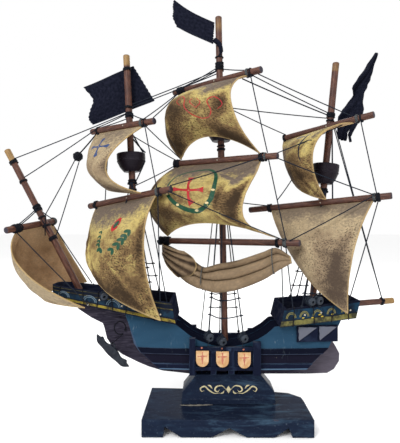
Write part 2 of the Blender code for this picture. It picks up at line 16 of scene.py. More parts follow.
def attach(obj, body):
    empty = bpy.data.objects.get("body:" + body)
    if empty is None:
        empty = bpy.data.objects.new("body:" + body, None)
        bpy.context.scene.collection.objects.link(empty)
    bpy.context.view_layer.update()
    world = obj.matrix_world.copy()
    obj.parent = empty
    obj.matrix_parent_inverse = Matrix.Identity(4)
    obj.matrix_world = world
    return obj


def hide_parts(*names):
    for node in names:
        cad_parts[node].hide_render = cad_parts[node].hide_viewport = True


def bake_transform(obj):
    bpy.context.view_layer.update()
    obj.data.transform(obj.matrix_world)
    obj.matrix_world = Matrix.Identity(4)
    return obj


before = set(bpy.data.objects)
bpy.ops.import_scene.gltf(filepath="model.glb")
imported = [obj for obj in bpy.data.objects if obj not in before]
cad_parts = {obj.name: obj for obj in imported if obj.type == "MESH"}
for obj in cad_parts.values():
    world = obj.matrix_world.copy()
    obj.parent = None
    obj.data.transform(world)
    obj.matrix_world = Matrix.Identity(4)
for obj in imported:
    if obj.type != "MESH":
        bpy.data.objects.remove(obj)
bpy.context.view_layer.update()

MM = 0.001
HULL = "hull"
SIDES = (("port", -1), ("starboard", 1))

# ---------------------------------------------------------------- the model's driving places

MASTS = {  # name: (heel, head)
    "fore_mast": ((-64.4, 0, 86.0), (-76.4, 0, 344.7)),
    "main_mast": ((18.3, 0, 60.0), (12.0, 0, 381.5)),
    "mizzen_mast": ((99.9, 0, 85.0), (124.8, 0, 337.5)),
    "bowsprit": ((-120.9, 0, 119.0), (-191.0, 0, 254.0)),
    "boomkin": ((130.0, 0, 105.4), (180.0, 0, 109.4)),
}
MAST_RADIUS = 3.2
YARD_RADIUS = 3.0
NAIL_OFFSET = MAST_RADIUS + YARD_RADIUS + 0.4

# Yard: mast, height of its nail, yaw and rise towards port in degrees, reach to starboard and to port.
YARDS = {
    "fore_topsail_yard": ("fore_mast", 275.3, 32.6, 0.0, 45.5, 36.5),
    "fore_course_yard": ("fore_mast", 207.3, 29.8, 7.6, 51.5, 50.0),
    "main_topgallant_yard": ("main_mast", 317.4, 38.0, 0.0, 53.5, 50.0),
    "main_topsail_yard": ("main_mast", 242.8, 27.4, 0.0, 49.0, 58.5),
    "main_course_yard": ("main_mast", 166.0, 22.0, 0.0, 64.0, 74.5),
    "mizzen_topsail_yard": ("mizzen_mast", 274.6, 36.9, 6.7, 45.0, 43.0),
    "mizzen_course_yard": ("mizzen_mast", 202.8, 26.7, 4.6, 72.0, 61.5),
}
SPRITSAIL_YARD_SHARE = 0.493
SPRITSAIL_YARD_DIRECTION = (-0.412, -0.892, -0.150)
SPRITSAIL_YARD_REACH = 20.0, 38.5
RIGS = {yard: yard.removesuffix("_yard") + "_rig" for yard in [*YARDS, "spritsail_yard"]}

# Sail: yard, head from and to along the yard, starboard and port clew, then how far the middle of the
# starboard leech, port leech, foot and belly stand off the straight line.
SAILS = {
    "fore_topsail": ("fore_topsail_yard", -37, 24, (-96, 8, 216), (-59, -22, 211),
                     (-13, -5, -4), (-32, -7, -8), (-2, -3, -1), (-4, -4, 0)),
    "fore_course": ("fore_course_yard", -42, 33, (-107, -14, 142), (-40, -32, 98),
                    (-5, -2, -5), (-12, -9, 8), (-9, -11, 0), (-5, -6, 0)),
    "main_topgallant_sail": ("main_topgallant_yard", -43, 37, (-24, 8, 246), (48, -27, 246),
                             (-15, -8, -2), (-18, -9, 0), (-10, -14, 16), (-12, -10, 0)),
    "main_topsail": ("main_topsail_yard", -45, 42, (-38, 13, 171), (62, -33, 171),
                     (-24, -1, 2), (-26, -9, -5), (-12, -14, 13), (-14, -1, 0)),
    "mizzen_topsail": ("mizzen_topsail_yard", -45, 25, (84, 8, 226), (108, -24, 205),
                       (-4, -2, 2), (-24, -8, 0), (-6, -6, -3), (-7, -6, 0)),
    "mizzen_course": ("mizzen_course_yard", -48, 46, (81, -3, 155), (125, -31, 104),
                      (-1, 0, -3), (-9, -7, 4), (-6, -9, -2), (-8, -7, 0)),
    "spritsail": ("spritsail_yard", -16, 27, (-122, 25, 123.5), (-109, -24.5, 107.5),
                  (-1, 2, 0), (-22, -9, 1), (-40, -4, -2), (-6, 3, 0)),
}
DUSTY_SAILS = ("fore_topsail", "mizzen_course", "spritsail")
CANVAS = 0.8
HEAD_DROP = 2.7

# Creases across a sail: from and to in sail units (starboard to port, head to foot), height, width.
FOLDS = {
    "fore_topsail": [(0.5, 0.9, 0.95, 0.1, 0.8, 0.05), (0.1, 0.35, 0.2, 0.8, -0.7, 0.05)],
    "fore_course": [(0.05, 0.35, 0.12, 0.95, 1.2, 0.022), (0.11, 0.4, 0.19, 0.98, -1.2, 0.02),
                    (0.17, 0.38, 0.27, 1.0, 1.0, 0.02), (0.24, 0.45, 0.36, 1.0, -0.9, 0.025),
                    (0.95, 0.1, 0.86, 0.7, 0.9, 0.04), (0.6, 0.62, 0.95, 0.98, 0.9, 0.04)],
    "main_topgallant_sail": [(1.0, 0.0, 0.7, 0.4, 1.6, 0.05), (1.0, 0.05, 0.8, 0.8, -1.2, 0.05),
                             (0.0, 1.0, 0.3, 0.55, 1.5, 0.05), (0.05, 1.0, 0.1, 0.5, -1.0, 0.04)],
    "main_topsail": [(1.0, 0.02, 0.86, 0.45, 1.6, 0.03), (0.98, 0.12, 0.9, 0.9, -2.0, 0.035),
                     (1.0, 0.0, 0.6, 0.12, 1.2, 0.03), (0.8, 0.5, 0.93, 1.0, 1.5, 0.03),
                     (0.86, 0.3, 0.84, 0.85, -1.2, 0.02), (0.76, 0.2, 0.95, 0.28, 1.1, 0.02),
                     (0.0, 0.9, 0.12, 0.3, -1.2, 0.04), (0.07, 1.0, 0.17, 0.6, 1.0, 0.03)],
    "mizzen_topsail": [(0.95, 0.0, 0.8, 0.5, 1.2, 0.05), (0.9, 1.0, 0.5, 0.5, -0.8, 0.06)],
    "mizzen_course": [(0.0, 0.0, 0.85, 0.85, 0.7, 0.07), (1.0, 0.0, 0.8, 0.8, -0.8, 0.06)],
    "spritsail": [(0.3, 0.0, 0.45, 0.5, 1.0, 0.05), (0.8, 0.0, 0.6, 0.6, -0.9, 0.06),
                  (1.0, 0.95, 0.55, 0.8, 1.4, 0.05)],
}

# Soiling of a sail: all over, then spots at (across, down) with their reach each way and strength.
SOIL = {
    "fore_topsail": (0.45, (0.0, 0.7, 0.12, 0.5, 0.7), (1.0, 0.5, 0.08, 0.5, 0.5),
                     (0.5, 1.0, 0.4, 0.15, 0.5)),
    "fore_course": (0.3, (0.02, 0.5, 0.10, 0.4, 0.7), (0.98, 0.35, 0.12, 0.35, 0.7),
                    (0.75, 0.85, 0.25, 0.25, 0.8), (0.35, 0.95, 0.3, 0.12, 0.5), (0.3, 0.1, 0.4, 0.15, -0.4)),
    "main_topgallant_sail": (0.45, (0.25, 0.7, 0.2, 0.2, 0.7), (0.5, 0.6, 0.15, 0.12, 0.5),
                             (0.85, 0.92, 0.2, 0.15, 0.8), (0.08, 0.9, 0.12, 0.2, 0.7),
                             (0.7, 0.1, 0.3, 0.12, -0.6)),
    "main_topsail": (0.2, (0.05, 0.5, 0.09, 0.6, 0.9), (0.35, 0.85, 0.2, 0.15, 0.6),
                     (0.90, 0.65, 0.10, 0.3, 0.6), (0.4, 0.08, 0.4, 0.08, -0.3)),
    "mizzen_topsail": (0.75, (0.2, 0.7, 0.3, 0.3, 0.5), (0.85, 0.3, 0.15, 0.3, -0.2)),
    "mizzen_course": (0.4, (0.85, 0.85, 0.2, 0.3, 0.7), (0.5, 0.5, 0.3, 0.3, 0.2),
                      (0.0, 0.3, 0.1, 0.4, 0.3), (0.5, 0.05, 0.5, 0.1, -0.3)),
    "spritsail": (0.2, (0.5, 0.2, 0.3, 0.2, 0.4)),
}
# How a port leech bows in: above 1 mostly near the clew, below 1 mostly near the yard; then how deeply.
PORT_BOW = {"main_topsail": (1.6, 1.0), "main_topgallant_sail": (0.6, 1.15), "mizzen_topsail": (0.5, 1.25)}

NESTS = {  # crow's nest: mast, floor height, height, rim radius, foot radius
    "fore_nest": ("fore_mast", 232.7, 17.6, 13.5, 7.8),
    "main_nest": ("main_mast", 262.0, 23.0, 15.0, 8.6),
    "mizzen_nest": ("mizzen_mast", 221.0, 19.0, 12.5, 7.4),
}
MAIN_DEADEYES = ((2.7, 82.0), (14.1, 78.2), (33.3, 81.0))
SHIELD_SPOTS = ((-3.2, 62.0), (14.8, 61.5), (34.4, 60.6))
SHIELD_FACE = 26.25
ANCHOR_CENTRE = (-87.0, -12.0, 64.7)
ANCHOR_PIVOT = (-87.0, -12.0, 71.6)


def mast_point(mast, height):
    heel, head = (Vector(p) for p in MASTS[mast])
    return heel.lerp(head, (height - heel.z) / (head.z - heel.z))


def along_spar(spar, share):
    heel, head = (Vector(p) for p in MASTS[spar])
    return heel.lerp(head, share)


def spar_direction(spar):
    heel, head = (Vector(p) for p in MASTS[spar])
    return (head - heel).normalized()


def yard_frame(name):
    """(nail point on the yard's axis, direction towards the port end)."""
    if name == "spritsail_yard":
        along = Vector(SPRITSAIL_YARD_DIRECTION).normalized()
        off = along.cross(spar_direction("bowsprit")).normalized()
        return along_spar("bowsprit", SPRITSAIL_YARD_SHARE) + off * (2 * YARD_RADIUS + 0.4), along
    mast, height, yaw, rise, _, _ = YARDS[name]
    yaw, rise = math.radians(yaw), math.radians(rise)
    off = Vector((-math.sin(yaw), -math.cos(yaw), 0))
    level = Vector((math.cos(yaw), -math.sin(yaw), 0))
    along = level * math.cos(rise) + Vector((0, 0, math.sin(rise)))
    return mast_point(mast, height) + off * NAIL_OFFSET, along


def on_yard(name, distance):
    nail, along = yard_frame(name)
    return nail + along * distance


def yard_reach(name):
    return SPRITSAIL_YARD_REACH if name == "spritsail_yard" else YARDS[name][4:]


# ---------------------------------------------------------------- materials


class Finish:
    """A material whose nodes are added a step at a time."""

    made = {}

    def __init__(self, name, roughness=0.5, specular=0.25):
        self.material = bpy.data.materials.new(name)
        self.material.use_nodes = True
        self.tree = self.material.node_tree
        self.shader = self.tree.nodes["Principled BSDF"]
        self.shader.inputs["Roughness"].default_value = roughness
        self.shader.inputs["Specular IOR Level"].default_value = specular
        self.place = self.node("ShaderNodeTexCoord").outputs["Object"]

    def node(self, kind, inputs=(), **settings):
        made = self.tree.nodes.new(kind)
        for key, value in settings.items():
            setattr(made, key, value)
        for key, value in dict(inputs).items():
            self.feed(made.inputs[key], value)
        return made

    def feed(self, socket, value):
        if isinstance(value, bpy.types.NodeSocket):
            self.tree.links.new(value, socket)
        else:
            socket.default_value = value

    def grain_place(self):
        """The piece's own surface coordinates, in metres."""
        return self.node("ShaderNodeUVMap", uv_map="grain").outputs["UV"]

    def stretched(self, place, scale):
        return self.node("ShaderNodeMapping", {"Vector": place, "Scale": scale}).outputs["Vector"]

    def noise(self, scale, detail=4.0, place=None, rough=0.55, distortion=0.0):
        return self.node("ShaderNodeTexNoise", {
            "Vector": place or self.place, "Scale": scale, "Detail": detail,
            "Roughness": rough, "Distortion": distortion,
        }).outputs["Fac"]

    def ramp(self, value, stops, constant=False):
        made = self.node("ShaderNodeValToRGB", {"Fac": value})
        ramp = made.color_ramp
        ramp.interpolation = "CONSTANT" if constant else "LINEAR"
        while len(ramp.elements) < len(stops):
            ramp.elements.new(0.5)
        for element, (place, colour) in zip(ramp.elements, stops):
            element.position = place
            grey = (colour,) * 3 if isinstance(colour, (int, float)) else colour
            element.color = (*grey, 1)
        return made.outputs["Color"]

    def between(self, value, low, high):
        """0 below low, 1 above high."""
        return self.node("ShaderNodeMapRange", {
            "Value": value, "From Min": low, "From Max": high,
        }).outputs["Result"]

    def mix(self, share, a, b, blend="MIX"):
        made = self.node("ShaderNodeMix", data_type="RGBA", blend_type=blend)
        for socket, value in zip((made.inputs[0], made.inputs[6], made.inputs[7]), (share, a, b)):
            self.feed(socket, (*value, 1) if isinstance(value, tuple) else value)
        return made.outputs[2]

    def lay(self, base, mask, share, colour):
        """The colour laid over the base where the mask is, and at most share thick."""
        return self.mix(self.maths("MULTIPLY", mask, share), base, colour)

    def maths(self, operation, a, b=0.5, c=0.5):
        made = self.node("ShaderNodeMath", operation=operation)
        for socket, value in zip(made.inputs, (a, b, c)):
            self.feed(socket, value)
        return made.outputs[0]

    def axis(self, letter, source=None):
        return self.node("ShaderNodeSeparateXYZ", {"Vector": source or self.place}).outputs[letter]

    def normal(self):
        return self.node("ShaderNodeNewGeometry").outputs["Normal"]

    def marked(self, name):
        return self.node("ShaderNodeAttribute", attribute_name=name).outputs["Fac"]

    def weave(self, place, scale):
        """Warp and weft threads, from 0 between them to 2 where two of them cross."""
        waves = [self.node("ShaderNodeTexWave", {"Vector": place, "Scale": scale}, bands_direction=way)
                 for way in "XY"]
        return self.maths("ADD", *(wave.outputs["Fac"] for wave in waves))

    def edge_wear(self, radius, scale, low, high):
        """1 on worn edges and 0 elsewhere, broken up by noise."""
        soft = self.node("ShaderNodeBevel", {"Radius": radius * MM}, samples=6).outputs["Normal"]
        match = self.node("ShaderNodeVectorMath", {0: soft, 1: self.normal()}, operation="DOT_PRODUCT")
        edge = self.between(match.outputs["Value"], 0.985, 0.9)
        return self.maths("MULTIPLY", edge, self.between(self.noise(scale, 5), low, high))

    def colour(self, socket):
        self.tree.links.new(socket, self.shader.inputs["Base Color"])

    def roughness(self, value, low, high):
        made = self.node("ShaderNodeMapRange", {"Value": value, "To Min": low, "To Max": high})
        self.tree.links.new(made.outputs["Result"], self.shader.inputs["Roughness"])

    def bump(self, height, strength, distance=0.3):
        made = self.node("ShaderNodeBump", {
            "Height": height, "Strength": strength, "Distance": distance * MM,
        })
        self.tree.links.new(made.outputs["Normal"], self.shader.inputs["Normal"])


def finish(maker):
    """Makes a material once, however often its function is called."""

    def get(*args):
        key = (maker.__name__, *args)
        if key not in Finish.made:
            Finish.made[key] = maker(*args).material
        return Finish.made[key]

    return get


NAVY = (0.006, 0.008, 0.019)
DEEP_NAVY = (0.004, 0.005, 0.011)
PANEL_BLUE = (0.0155, 0.042, 0.075)
PALE_BLUE = (0.055, 0.095, 0.15)
PURPLE_GREY = (0.030, 0.027, 0.040)
OCHRE = (0.19, 0.145, 0.025)


@finish
def stand_gloss():
    f = Finish("stand_gloss", roughness=0.3, specular=0.012)
    brush = f.noise(90, 8, f.stretched(f.place, (0.35, 1.3, 1.6)), rough=0.7, distortion=0.6)
    sheen_patch = f.noise(24, 4)
    # Lighter bluish patches along the brush streaks: brush marks, and painted sheen of the gloss paint.
    marks = f.maths("MULTIPLY", f.between(brush, 0.50, 0.72), f.between(sheen_patch, 0.40, 0.62))
    base = f.mix(f.between(brush, 0.3, 0.7), (0.007, 0.010, 0.022), (0.012, 0.020, 0.040))
    base = f.mix(marks, base, (0.045, 0.085, 0.130))
    specks = f.between(f.noise(620, 3), 0.64, 0.74)
    base = f.lay(base, specks, 0.55, (0.10, 0.13, 0.17))
    # Lighter grey-blue edges: wear, and a painted highlight along the edges.
    worn = f.edge_wear(0.9, 60, 0.42, 0.62)
    base = f.lay(base, worn, 0.7, (0.09, 0.10, 0.12))
    bare = f.edge_wear(1.3, 24, 0.66, 0.72)
    f.colour(f.mix(bare, base, (0.33, 0.12, 0.045)))
    f.roughness(brush, 0.14, 0.42)
    f.bump(brush, 0.25, 0.25)
    return f


@finish
def keel_wood():
    f = Finish("keel_wood", roughness=0.8, specular=0.0)
    grain = f.noise(60, 7, f.stretched(f.place, (1, 8, 8)), distortion=1.2)
    base = f.ramp(grain, [(0.3, (0.010, 0.008, 0.013)), (0.55, PURPLE_GREY), (0.8, (0.080, 0.068, 0.088))])
    aft = f.between(f.axis("X"), 0.080, 0.112)
    base = f.lay(base, aft, 0.45, (0.13, 0.115, 0.14))
    up = f.between(f.axis("Z", f.normal()), 0.3, 0.5)
    deck = f.maths("MULTIPLY", up, f.between(f.axis("Z"), 0.062, 0.070))
    base = f.mix(deck, base, DEEP_NAVY)
    f.colour(f.lay(base, f.edge_wear(0.8, 80, 0.4, 0.6), 0.5, (0.07, 0.10, 0.15)))
    f.roughness(grain, 0.5, 0.85)
    f.bump(grain, 0.45, 0.35)
    return f


@finish
def hull_paint():
    """Blue above the wale; below it dark sunk planking, then a strake with a blue line along its foot."""
    f = Finish("hull_paint", roughness=0.5, specular=0.0)
    wobble = f.maths("MULTIPLY", f.maths("SUBTRACT", f.noise(45, 3), 0.5), 0.0009)
    height = f.between(f.maths("ADD", f.axis("Z"), wobble), 0.048, 0.098)
    bands = f.ramp(height, [
        (0.0, PALE_BLUE), (0.055, NAVY), (0.13, (0.026, 0.040, 0.072)), (0.145, (0.007, 0.007, 0.014)),
        (0.305, (0.022, 0.028, 0.048)), (0.325, DEEP_NAVY), (0.425, PANEL_BLUE),
    ], constant=True)
    shade = f.noise(30, 5, f.stretched(f.place, (1, 1, 3)))
    base = f.mix(f.between(shade, 0.35, 0.75), bands, (1.35, 1.3, 1.25), "MULTIPLY")
    scratch = f.noise(160, 5, f.stretched(f.place, (1.6, 1, 0.35)), distortion=2.5)
    line = f.maths("MULTIPLY", f.between(scratch, 0.60, 0.66), f.between(f.noise(26, 2), 0.52, 0.7))
    base = f.lay(base, line, 0.3, (0.22, 0.28, 0.31))
    specks = f.between(f.noise(900, 2), 0.74, 0.8)
    base = f.lay(base, specks, 0.5, (0.30, 0.28, 0.22))
    up = f.between(f.axis("Z", f.normal()), 0.35, 0.5)
    base = f.mix(up, base, DEEP_NAVY)
    out = f.maths("ABSOLUTE", f.axis("Y", f.normal()))
    fore = f.maths("MULTIPLY", f.between(out, 0.75, 0.5), f.between(f.axis("X"), -0.030, -0.035))
    base = f.lay(base, fore, 0.8, (0.06, 0.09, 0.15))
    f.colour(f.lay(base, f.edge_wear(0.8, 55, 0.45, 0.6), 0.55, PALE_BLUE))
    f.roughness(shade, 0.32, 0.6)
    f.bump(scratch, 0.2, 0.2)
    return f


@finish
def navy_paint():
    f = Finish("navy_paint", roughness=0.45, specular=0.01)
    brush = f.noise(120, 6, f.stretched(f.place, (1, 1, 0.3)), distortion=0.8)
    base = f.mix(f.between(brush, 0.5, 0.8), NAVY, (0.016, 0.024, 0.048))
    smear = f.maths("MULTIPLY", f.between(f.noise(48, 4), 0.62, 0.70), f.between(brush, 0.45, 0.6))
    base = f.lay(base, smear, 0.5, (0.07, 0.11, 0.19))
    f.colour(f.lay(base, f.edge_wear(0.7, 90, 0.48, 0.62), 0.6, PALE_BLUE))
    f.roughness(brush, 0.28, 0.55)
    f.bump(brush, 0.3, 0.25)
    return f


def castle_paint(name, low_line, low_slope, wall, wall_slope, stops):
    """Painted bands on a castle's slanting side, whose foot is at low_line + low_slope * X."""
    f = Finish(name, roughness=0.5, specular=0.0)
    x, y = f.axis("X"), f.axis("Y")
    wobble = f.maths("MULTIPLY", f.maths("SUBTRACT", f.noise(70, 4), 0.5), 0.0016)
    foot = f.maths("MULTIPLY_ADD", x, low_slope, low_line)
    height = f.maths("ADD", f.maths("SUBTRACT", f.axis("Z"), foot), wobble)
    share = f.maths("DIVIDE", height, f.maths("MULTIPLY_ADD", x, wall_slope, wall))
    bands = f.ramp(share, stops, constant=True)
    brush = f.noise(140, 6, f.stretched(f.place, (0.4, 1, 1.5)), distortion=1.0)
    base = f.mix(f.between(brush, 0.35, 0.8), bands, (1.5, 1.45, 1.4), "MULTIPLY")
    dirt = f.between(f.noise(85, 6, rough=0.7), 0.44, 0.58)
    base = f.lay(base, dirt, 0.8, (0.008, 0.010, 0.016))
    facing = f.axis("Y", f.normal())
    outer = f.maths("GREATER_THAN", f.maths("MULTIPLY", y, facing), 0.004)
    base = f.mix(outer, f.mix(f.between(brush, 0.4, 0.8), NAVY, (0.024, 0.026, 0.038)), base)
    f.colour(f.lay(base, f.edge_wear(0.7, 70, 0.45, 0.6), 0.35, (0.09, 0.09, 0.11)))
    f.roughness(brush, 0.3, 0.6)
    f.bump(brush, 0.35, 0.3)
    return f


@finish
def forecastle_paint():
    dark, sea = (0.006, 0.009, 0.018), (0.010, 0.024, 0.042)
    return castle_paint("forecastle_paint", 0.0876, -0.187, 0.02139, 0.068, [
        (0.0, dark), (0.06, OCHRE), (0.21, dark), (0.28, sea), (0.60, dark), (0.64, (0.10, 0.085, 0.028)),
        (0.69, dark), (0.88, (0.07, 0.062, 0.025)), (0.93, dark),
    ])


@finish
def aftcastle_paint():
    return castle_paint("aftcastle_paint", 0.08413, 0.092, 0.01706, -0.007, [
        (0.0, (0.03, 0.035, 0.03)), (0.06, (0.125, 0.115, 0.04)), (0.32, (0.008, 0.011, 0.018)),
        (0.37, (0.009, 0.026, 0.048)), (0.90, DEEP_NAVY),
    ])


@finish
def stained_dowel():
    """Reddish-brown stain. tone is 0 on bare tips, about a half along the rod and 1 at darkened ends."""
    f = Finish("stained_dowel", roughness=0.5)
    place = f.grain_place()
    grain = f.noise(420, 6, f.stretched(place, (3.5, 0.28, 1)), distortion=0.8)
    cloud = f.noise(70, 4, place)
    stain = f.ramp(grain, [
        (0.3, (0.020, 0.008, 0.006)), (0.55, (0.085, 0.033, 0.021)), (0.8, (0.20, 0.095, 0.055)),
    ])
    stain = f.mix(f.between(cloud, 0.45, 0.75), stain, (0.035, 0.014, 0.012))
    bare = f.ramp(grain, [(0.3, (0.12, 0.065, 0.022)), (0.7, (0.29, 0.18, 0.07))])
    base = f.mix(f.between(f.marked("tone"), 0.3, 0.12), stain, bare)
    base = f.mix(f.between(f.marked("tone"), 0.7, 0.95), base, (0.022, 0.018, 0.028))
    f.colour(base)
    f.roughness(grain, 0.38, 0.65)
    f.bump(grain, 0.35, 0.2)
    return f


@finish
def nest_stain():
    f = Finish("nest_stain", roughness=0.38, specular=0.08)
    rings = f.noise(500, 5, f.stretched(f.grain_place(), (0.05, 2.5, 1)))
    base = f.ramp(rings, [(0.3, (0.005, 0.004, 0.007)), (0.7, (0.016, 0.012, 0.017))])
    f.colour(f.lay(base, f.edge_wear(0.5, 150, 0.45, 0.6), 0.5, (0.09, 0.085, 0.10)))
    f.roughness(rings, 0.28, 0.5)
    f.bump(rings, 0.3, 0.15)
    return f


CANVASES = {  # clean, gilt, brown and dark cloth, and the noise from which it is flecked
    "gilt_canvas": ((0.110, 0.085, 0.066), (0.365, 0.290, 0.105), (0.135, 0.085, 0.038),
                    (0.030, 0.018, 0.009), 0.58),
    "dusty_canvas": ((0.15, 0.117, 0.085), (0.30, 0.237, 0.148), (0.20, 0.148, 0.095),
                     (0.060, 0.042, 0.030), 0.58),
    "brown_canvas": ((0.33, 0.22, 0.125), (0.27, 0.168, 0.090), (0.175, 0.100, 0.050),
                     (0.075, 0.040, 0.020), 0.64),
    "furled_canvas": ((0.18, 0.130, 0.083), (0.145, 0.102, 0.063), (0.068, 0.045, 0.028),
                      (0.020, 0.013, 0.009), 0.66),
    "hem_canvas": ((0.36, 0.26, 0.13), (0.28, 0.195, 0.09), (0.15, 0.095, 0.045),
                   (0.06, 0.035, 0.015), 0.6),
}


@finish
def canvas(name):
    """Stiffened cloth. Its marked dirt darkens it in clouds and flecks, along with painted shade in the valleys
    of its folds and a painted highlight on their ridges; tone is 1 along the hems.
    """
    clean, gilt, brown, dark, fleck_from = CANVASES[name]
    f = Finish(name, roughness=0.75, specular=0.12)
    place = f.grain_place()
    # The mark read here carries dirt and painted fold shade: darker in fold valleys, lighter on ridges.
    soil = f.marked("soil")
    cloud = f.noise(46, 8, f.place, rough=0.72)
    fine = f.noise(420, 4, place)
    grainy = f.maths("MULTIPLY_ADD", f.maths("ADD", fine, -0.5), 0.30, cloud)
    level = f.maths("MULTIPLY_ADD", soil, 0.34, grainy)
    paint = f.ramp(level, [(0.30, clean), (0.54, gilt), (0.72, brown), (0.93, dark)])
    base = f.mix(f.between(fine, 0.42, 0.75), paint, (1.5, 1.46, 1.38), "MULTIPLY")
    speckle = f.maths("MULTIPLY_ADD", soil, 0.10, f.noise(620, 3, place))
    where = f.between(f.maths("MULTIPLY_ADD", soil, 0.25, f.noise(34, 4, f.place)), 0.46, 0.64)
    spots = f.maths("MULTIPLY", f.between(speckle, fleck_from, fleck_from + 0.07), where)
    base = f.lay(base, spots, 0.85, dark)
    weave = f.weave(place, 520)
    base = f.mix(f.between(weave, 1.2, 0.2), base, (0.78, 0.76, 0.73), "MULTIPLY")
    f.colour(f.lay(base, f.marked("tone"), 0.6, (0.42, 0.30, 0.14)))
    f.roughness(cloud, 0.6, 0.9)
    f.bump(f.maths("ADD", weave, f.maths("MULTIPLY", fine, 2.0)), 0.45, 0.14)
    return f


@finish
def flag_cloth():
    f = Finish("flag_cloth", roughness=0.85, specular=0.02)
    place = f.grain_place()
    weave = f.weave(place, 480)
    fine = f.noise(350, 4, place)
    base = f.mix(f.between(fine, 0.35, 0.8), (0.004, 0.005, 0.010), (0.013, 0.014, 0.025))
    lint = f.between(f.noise(520, 2, place), 0.74, 0.78)
    base = f.lay(base, lint, 0.35, (0.10, 0.08, 0.06))
    f.colour(f.lay(base, f.marked("tone"), 0.3, (0.028, 0.030, 0.042)))
    f.bump(f.maths("ADD", weave, fine), 0.5, 0.12)
    return f


@finish
def shield_paint():
    f = Finish("shield_paint", roughness=0.6)
    cloud = f.noise(180, 4)
    base = f.ramp(cloud, [(0.35, (0.40, 0.22, 0.095)), (0.65, (0.53, 0.36, 0.20))])
    worn = f.edge_wear(0.5, 300, 0.42, 0.6)
    f.colour(f.mix(worn, base, (0.35, 0.14, 0.05)))
    f.bump(cloud, 0.2, 0.15)
    return f


@finish
def brushed_paint(name, red, green, blue, rough):
    """A hand-brushed colour that wears thin in places."""
    f = Finish(name, roughness=rough, specular=0.2)
    wear = f.noise(260, 5, distortion=0.8)
    colour = (red, green, blue)
    thin = tuple(c * 0.45 + 0.05 for c in colour)
    f.colour(f.mix(f.between(wear, 0.52, 0.72), colour, thin))
    f.bump(wear, 0.25, 0.1)
    return f


@finish
def bead_glaze():
    f = Finish("bead_glaze", roughness=0.45, specular=0.2)
    cloud = f.noise(260, 5)
    f.colour(f.ramp(cloud, [(0.35, (0.007, 0.010, 0.016)), (0.65, (0.028, 0.036, 0.050))]))
    f.roughness(cloud, 0.3, 0.55)
    f.bump(cloud, 0.3, 0.15)
    return f


@finish
def thread(name, red, green, blue):
    """Twisted thread: the strands wind round its length."""
    f = Finish(name, roughness=0.75, specular=0.1)
    place = f.grain_place()
    wave = f.node("ShaderNodeTexWave", {"Vector": place, "Scale": 430}, bands_direction="DIAGONAL")
    twist = wave.outputs["Fac"]
    colour = (red, green, blue)
    base = f.mix(f.between(twist, 0.2, 0.9), tuple(c * 0.35 for c in colour), colour)
    # Lighter flecks: loose fibres, and painted glints of light on the thread.
    fuzz_and_glints = f.noise(900, 3, place)
    f.colour(f.mix(f.between(fuzz_and_glints, 0.6, 0.8), base, tuple(c * 1.7 for c in colour)))
    f.bump(f.maths("ADD", twist, fuzz_and_glints), 0.6, 0.15)
    return f


def dark_thread():
    return thread("dark_thread", 0.008, 0.009, 0.014)


def slate_thread():
    return thread("slate_thread", 0.012, 0.017, 0.028)


def grey_thread():
    return thread("grey_thread", 0.075, 0.082, 0.085)


@finish
def nail_metal():
    f = Finish("nail_metal", roughness=0.4)
    f.shader.inputs["Metallic"].default_value = 0.7
    cloud = f.noise(900, 4)
    f.colour(f.ramp(cloud, [(0.3, (0.20, 0.17, 0.13)), (0.7, (0.55, 0.50, 0.42))]))
    f.roughness(cloud, 0.3, 0.6)
    return f


@finish
def anchor_paint():
    f = Finish("anchor_paint", roughness=0.42, specular=0.18)
    brush = f.noise(150, 6, distortion=0.8)
    base = f.mix(f.between(brush, 0.45, 0.75), (0.006, 0.008, 0.014), (0.020, 0.025, 0.033))
    f.colour(f.lay(base, f.edge_wear(0.5, 140, 0.4, 0.6), 0.7, (0.09, 0.11, 0.14)))
    f.bump(brush, 0.35, 0.25)
    return f


# ---------------------------------------------------------------- building pieces


def curve_through(points, per=8, closed=False):
    """A smooth line through the points, as an array."""
    pts = np.array([tuple(p) for p in points], float)
    if closed:
        pts = np.vstack([pts[-1], pts, pts[0], pts[1]])
    else:
        pts = np.vstack([2 * pts[0] - pts[1], pts, 2 * pts[-1] - pts[-2]])
    made = []
    for a, b, c, d in zip(pts, pts[1:], pts[2:], pts[3:]):
        for s in np.arange(per) / per:
            made.append(0.5 * (2 * b + (c - a) * s + (2 * a - 5 * b + 4 * c - d) * s**2
                               + (3 * b - a - 3 * c + d) * s**3))
    if not closed:
        made.append(pts[-2])
    return np.array(made)


def at_share(line, share):
    """The points at these shares of the way along a line, counted by its points."""
    spots = np.linspace(0, 1, len(line))
    return np.stack([np.interp(share, spots, column) for column in line.T], axis=-1)


def sagging(a, b, sag, steps):
    """A line between two points that drops by sag in the middle."""
    a, b = np.array(a, float), np.array(b, float)
    s = np.linspace(0, 1, steps + 1)[:, None]
    return a + (b - a) * s - np.array([0, 0, 1.0]) * (4 * s * (1 - s) * sag)


def frame_along(path):
    """Two unit vectors across the path at each point, with no twist between points."""
    ahead = np.gradient(path, axis=0)
    ahead /= np.linalg.norm(ahead, axis=1)[:, None] + 1e-12
    start = np.cross(ahead[0], (0.0, 0.3, 1.0) if abs(ahead[0][2]) < 0.9 else (1.0, 0.3, 0.0))
    sides = [start / np.linalg.norm(start)]
    for t in ahead[1:]:
        side = sides[-1] - t * np.dot(sides[-1], t)
        sides.append(side / np.linalg.norm(side))
    sides = np.array(sides)
    return sides, np.cross(ahead, sides)


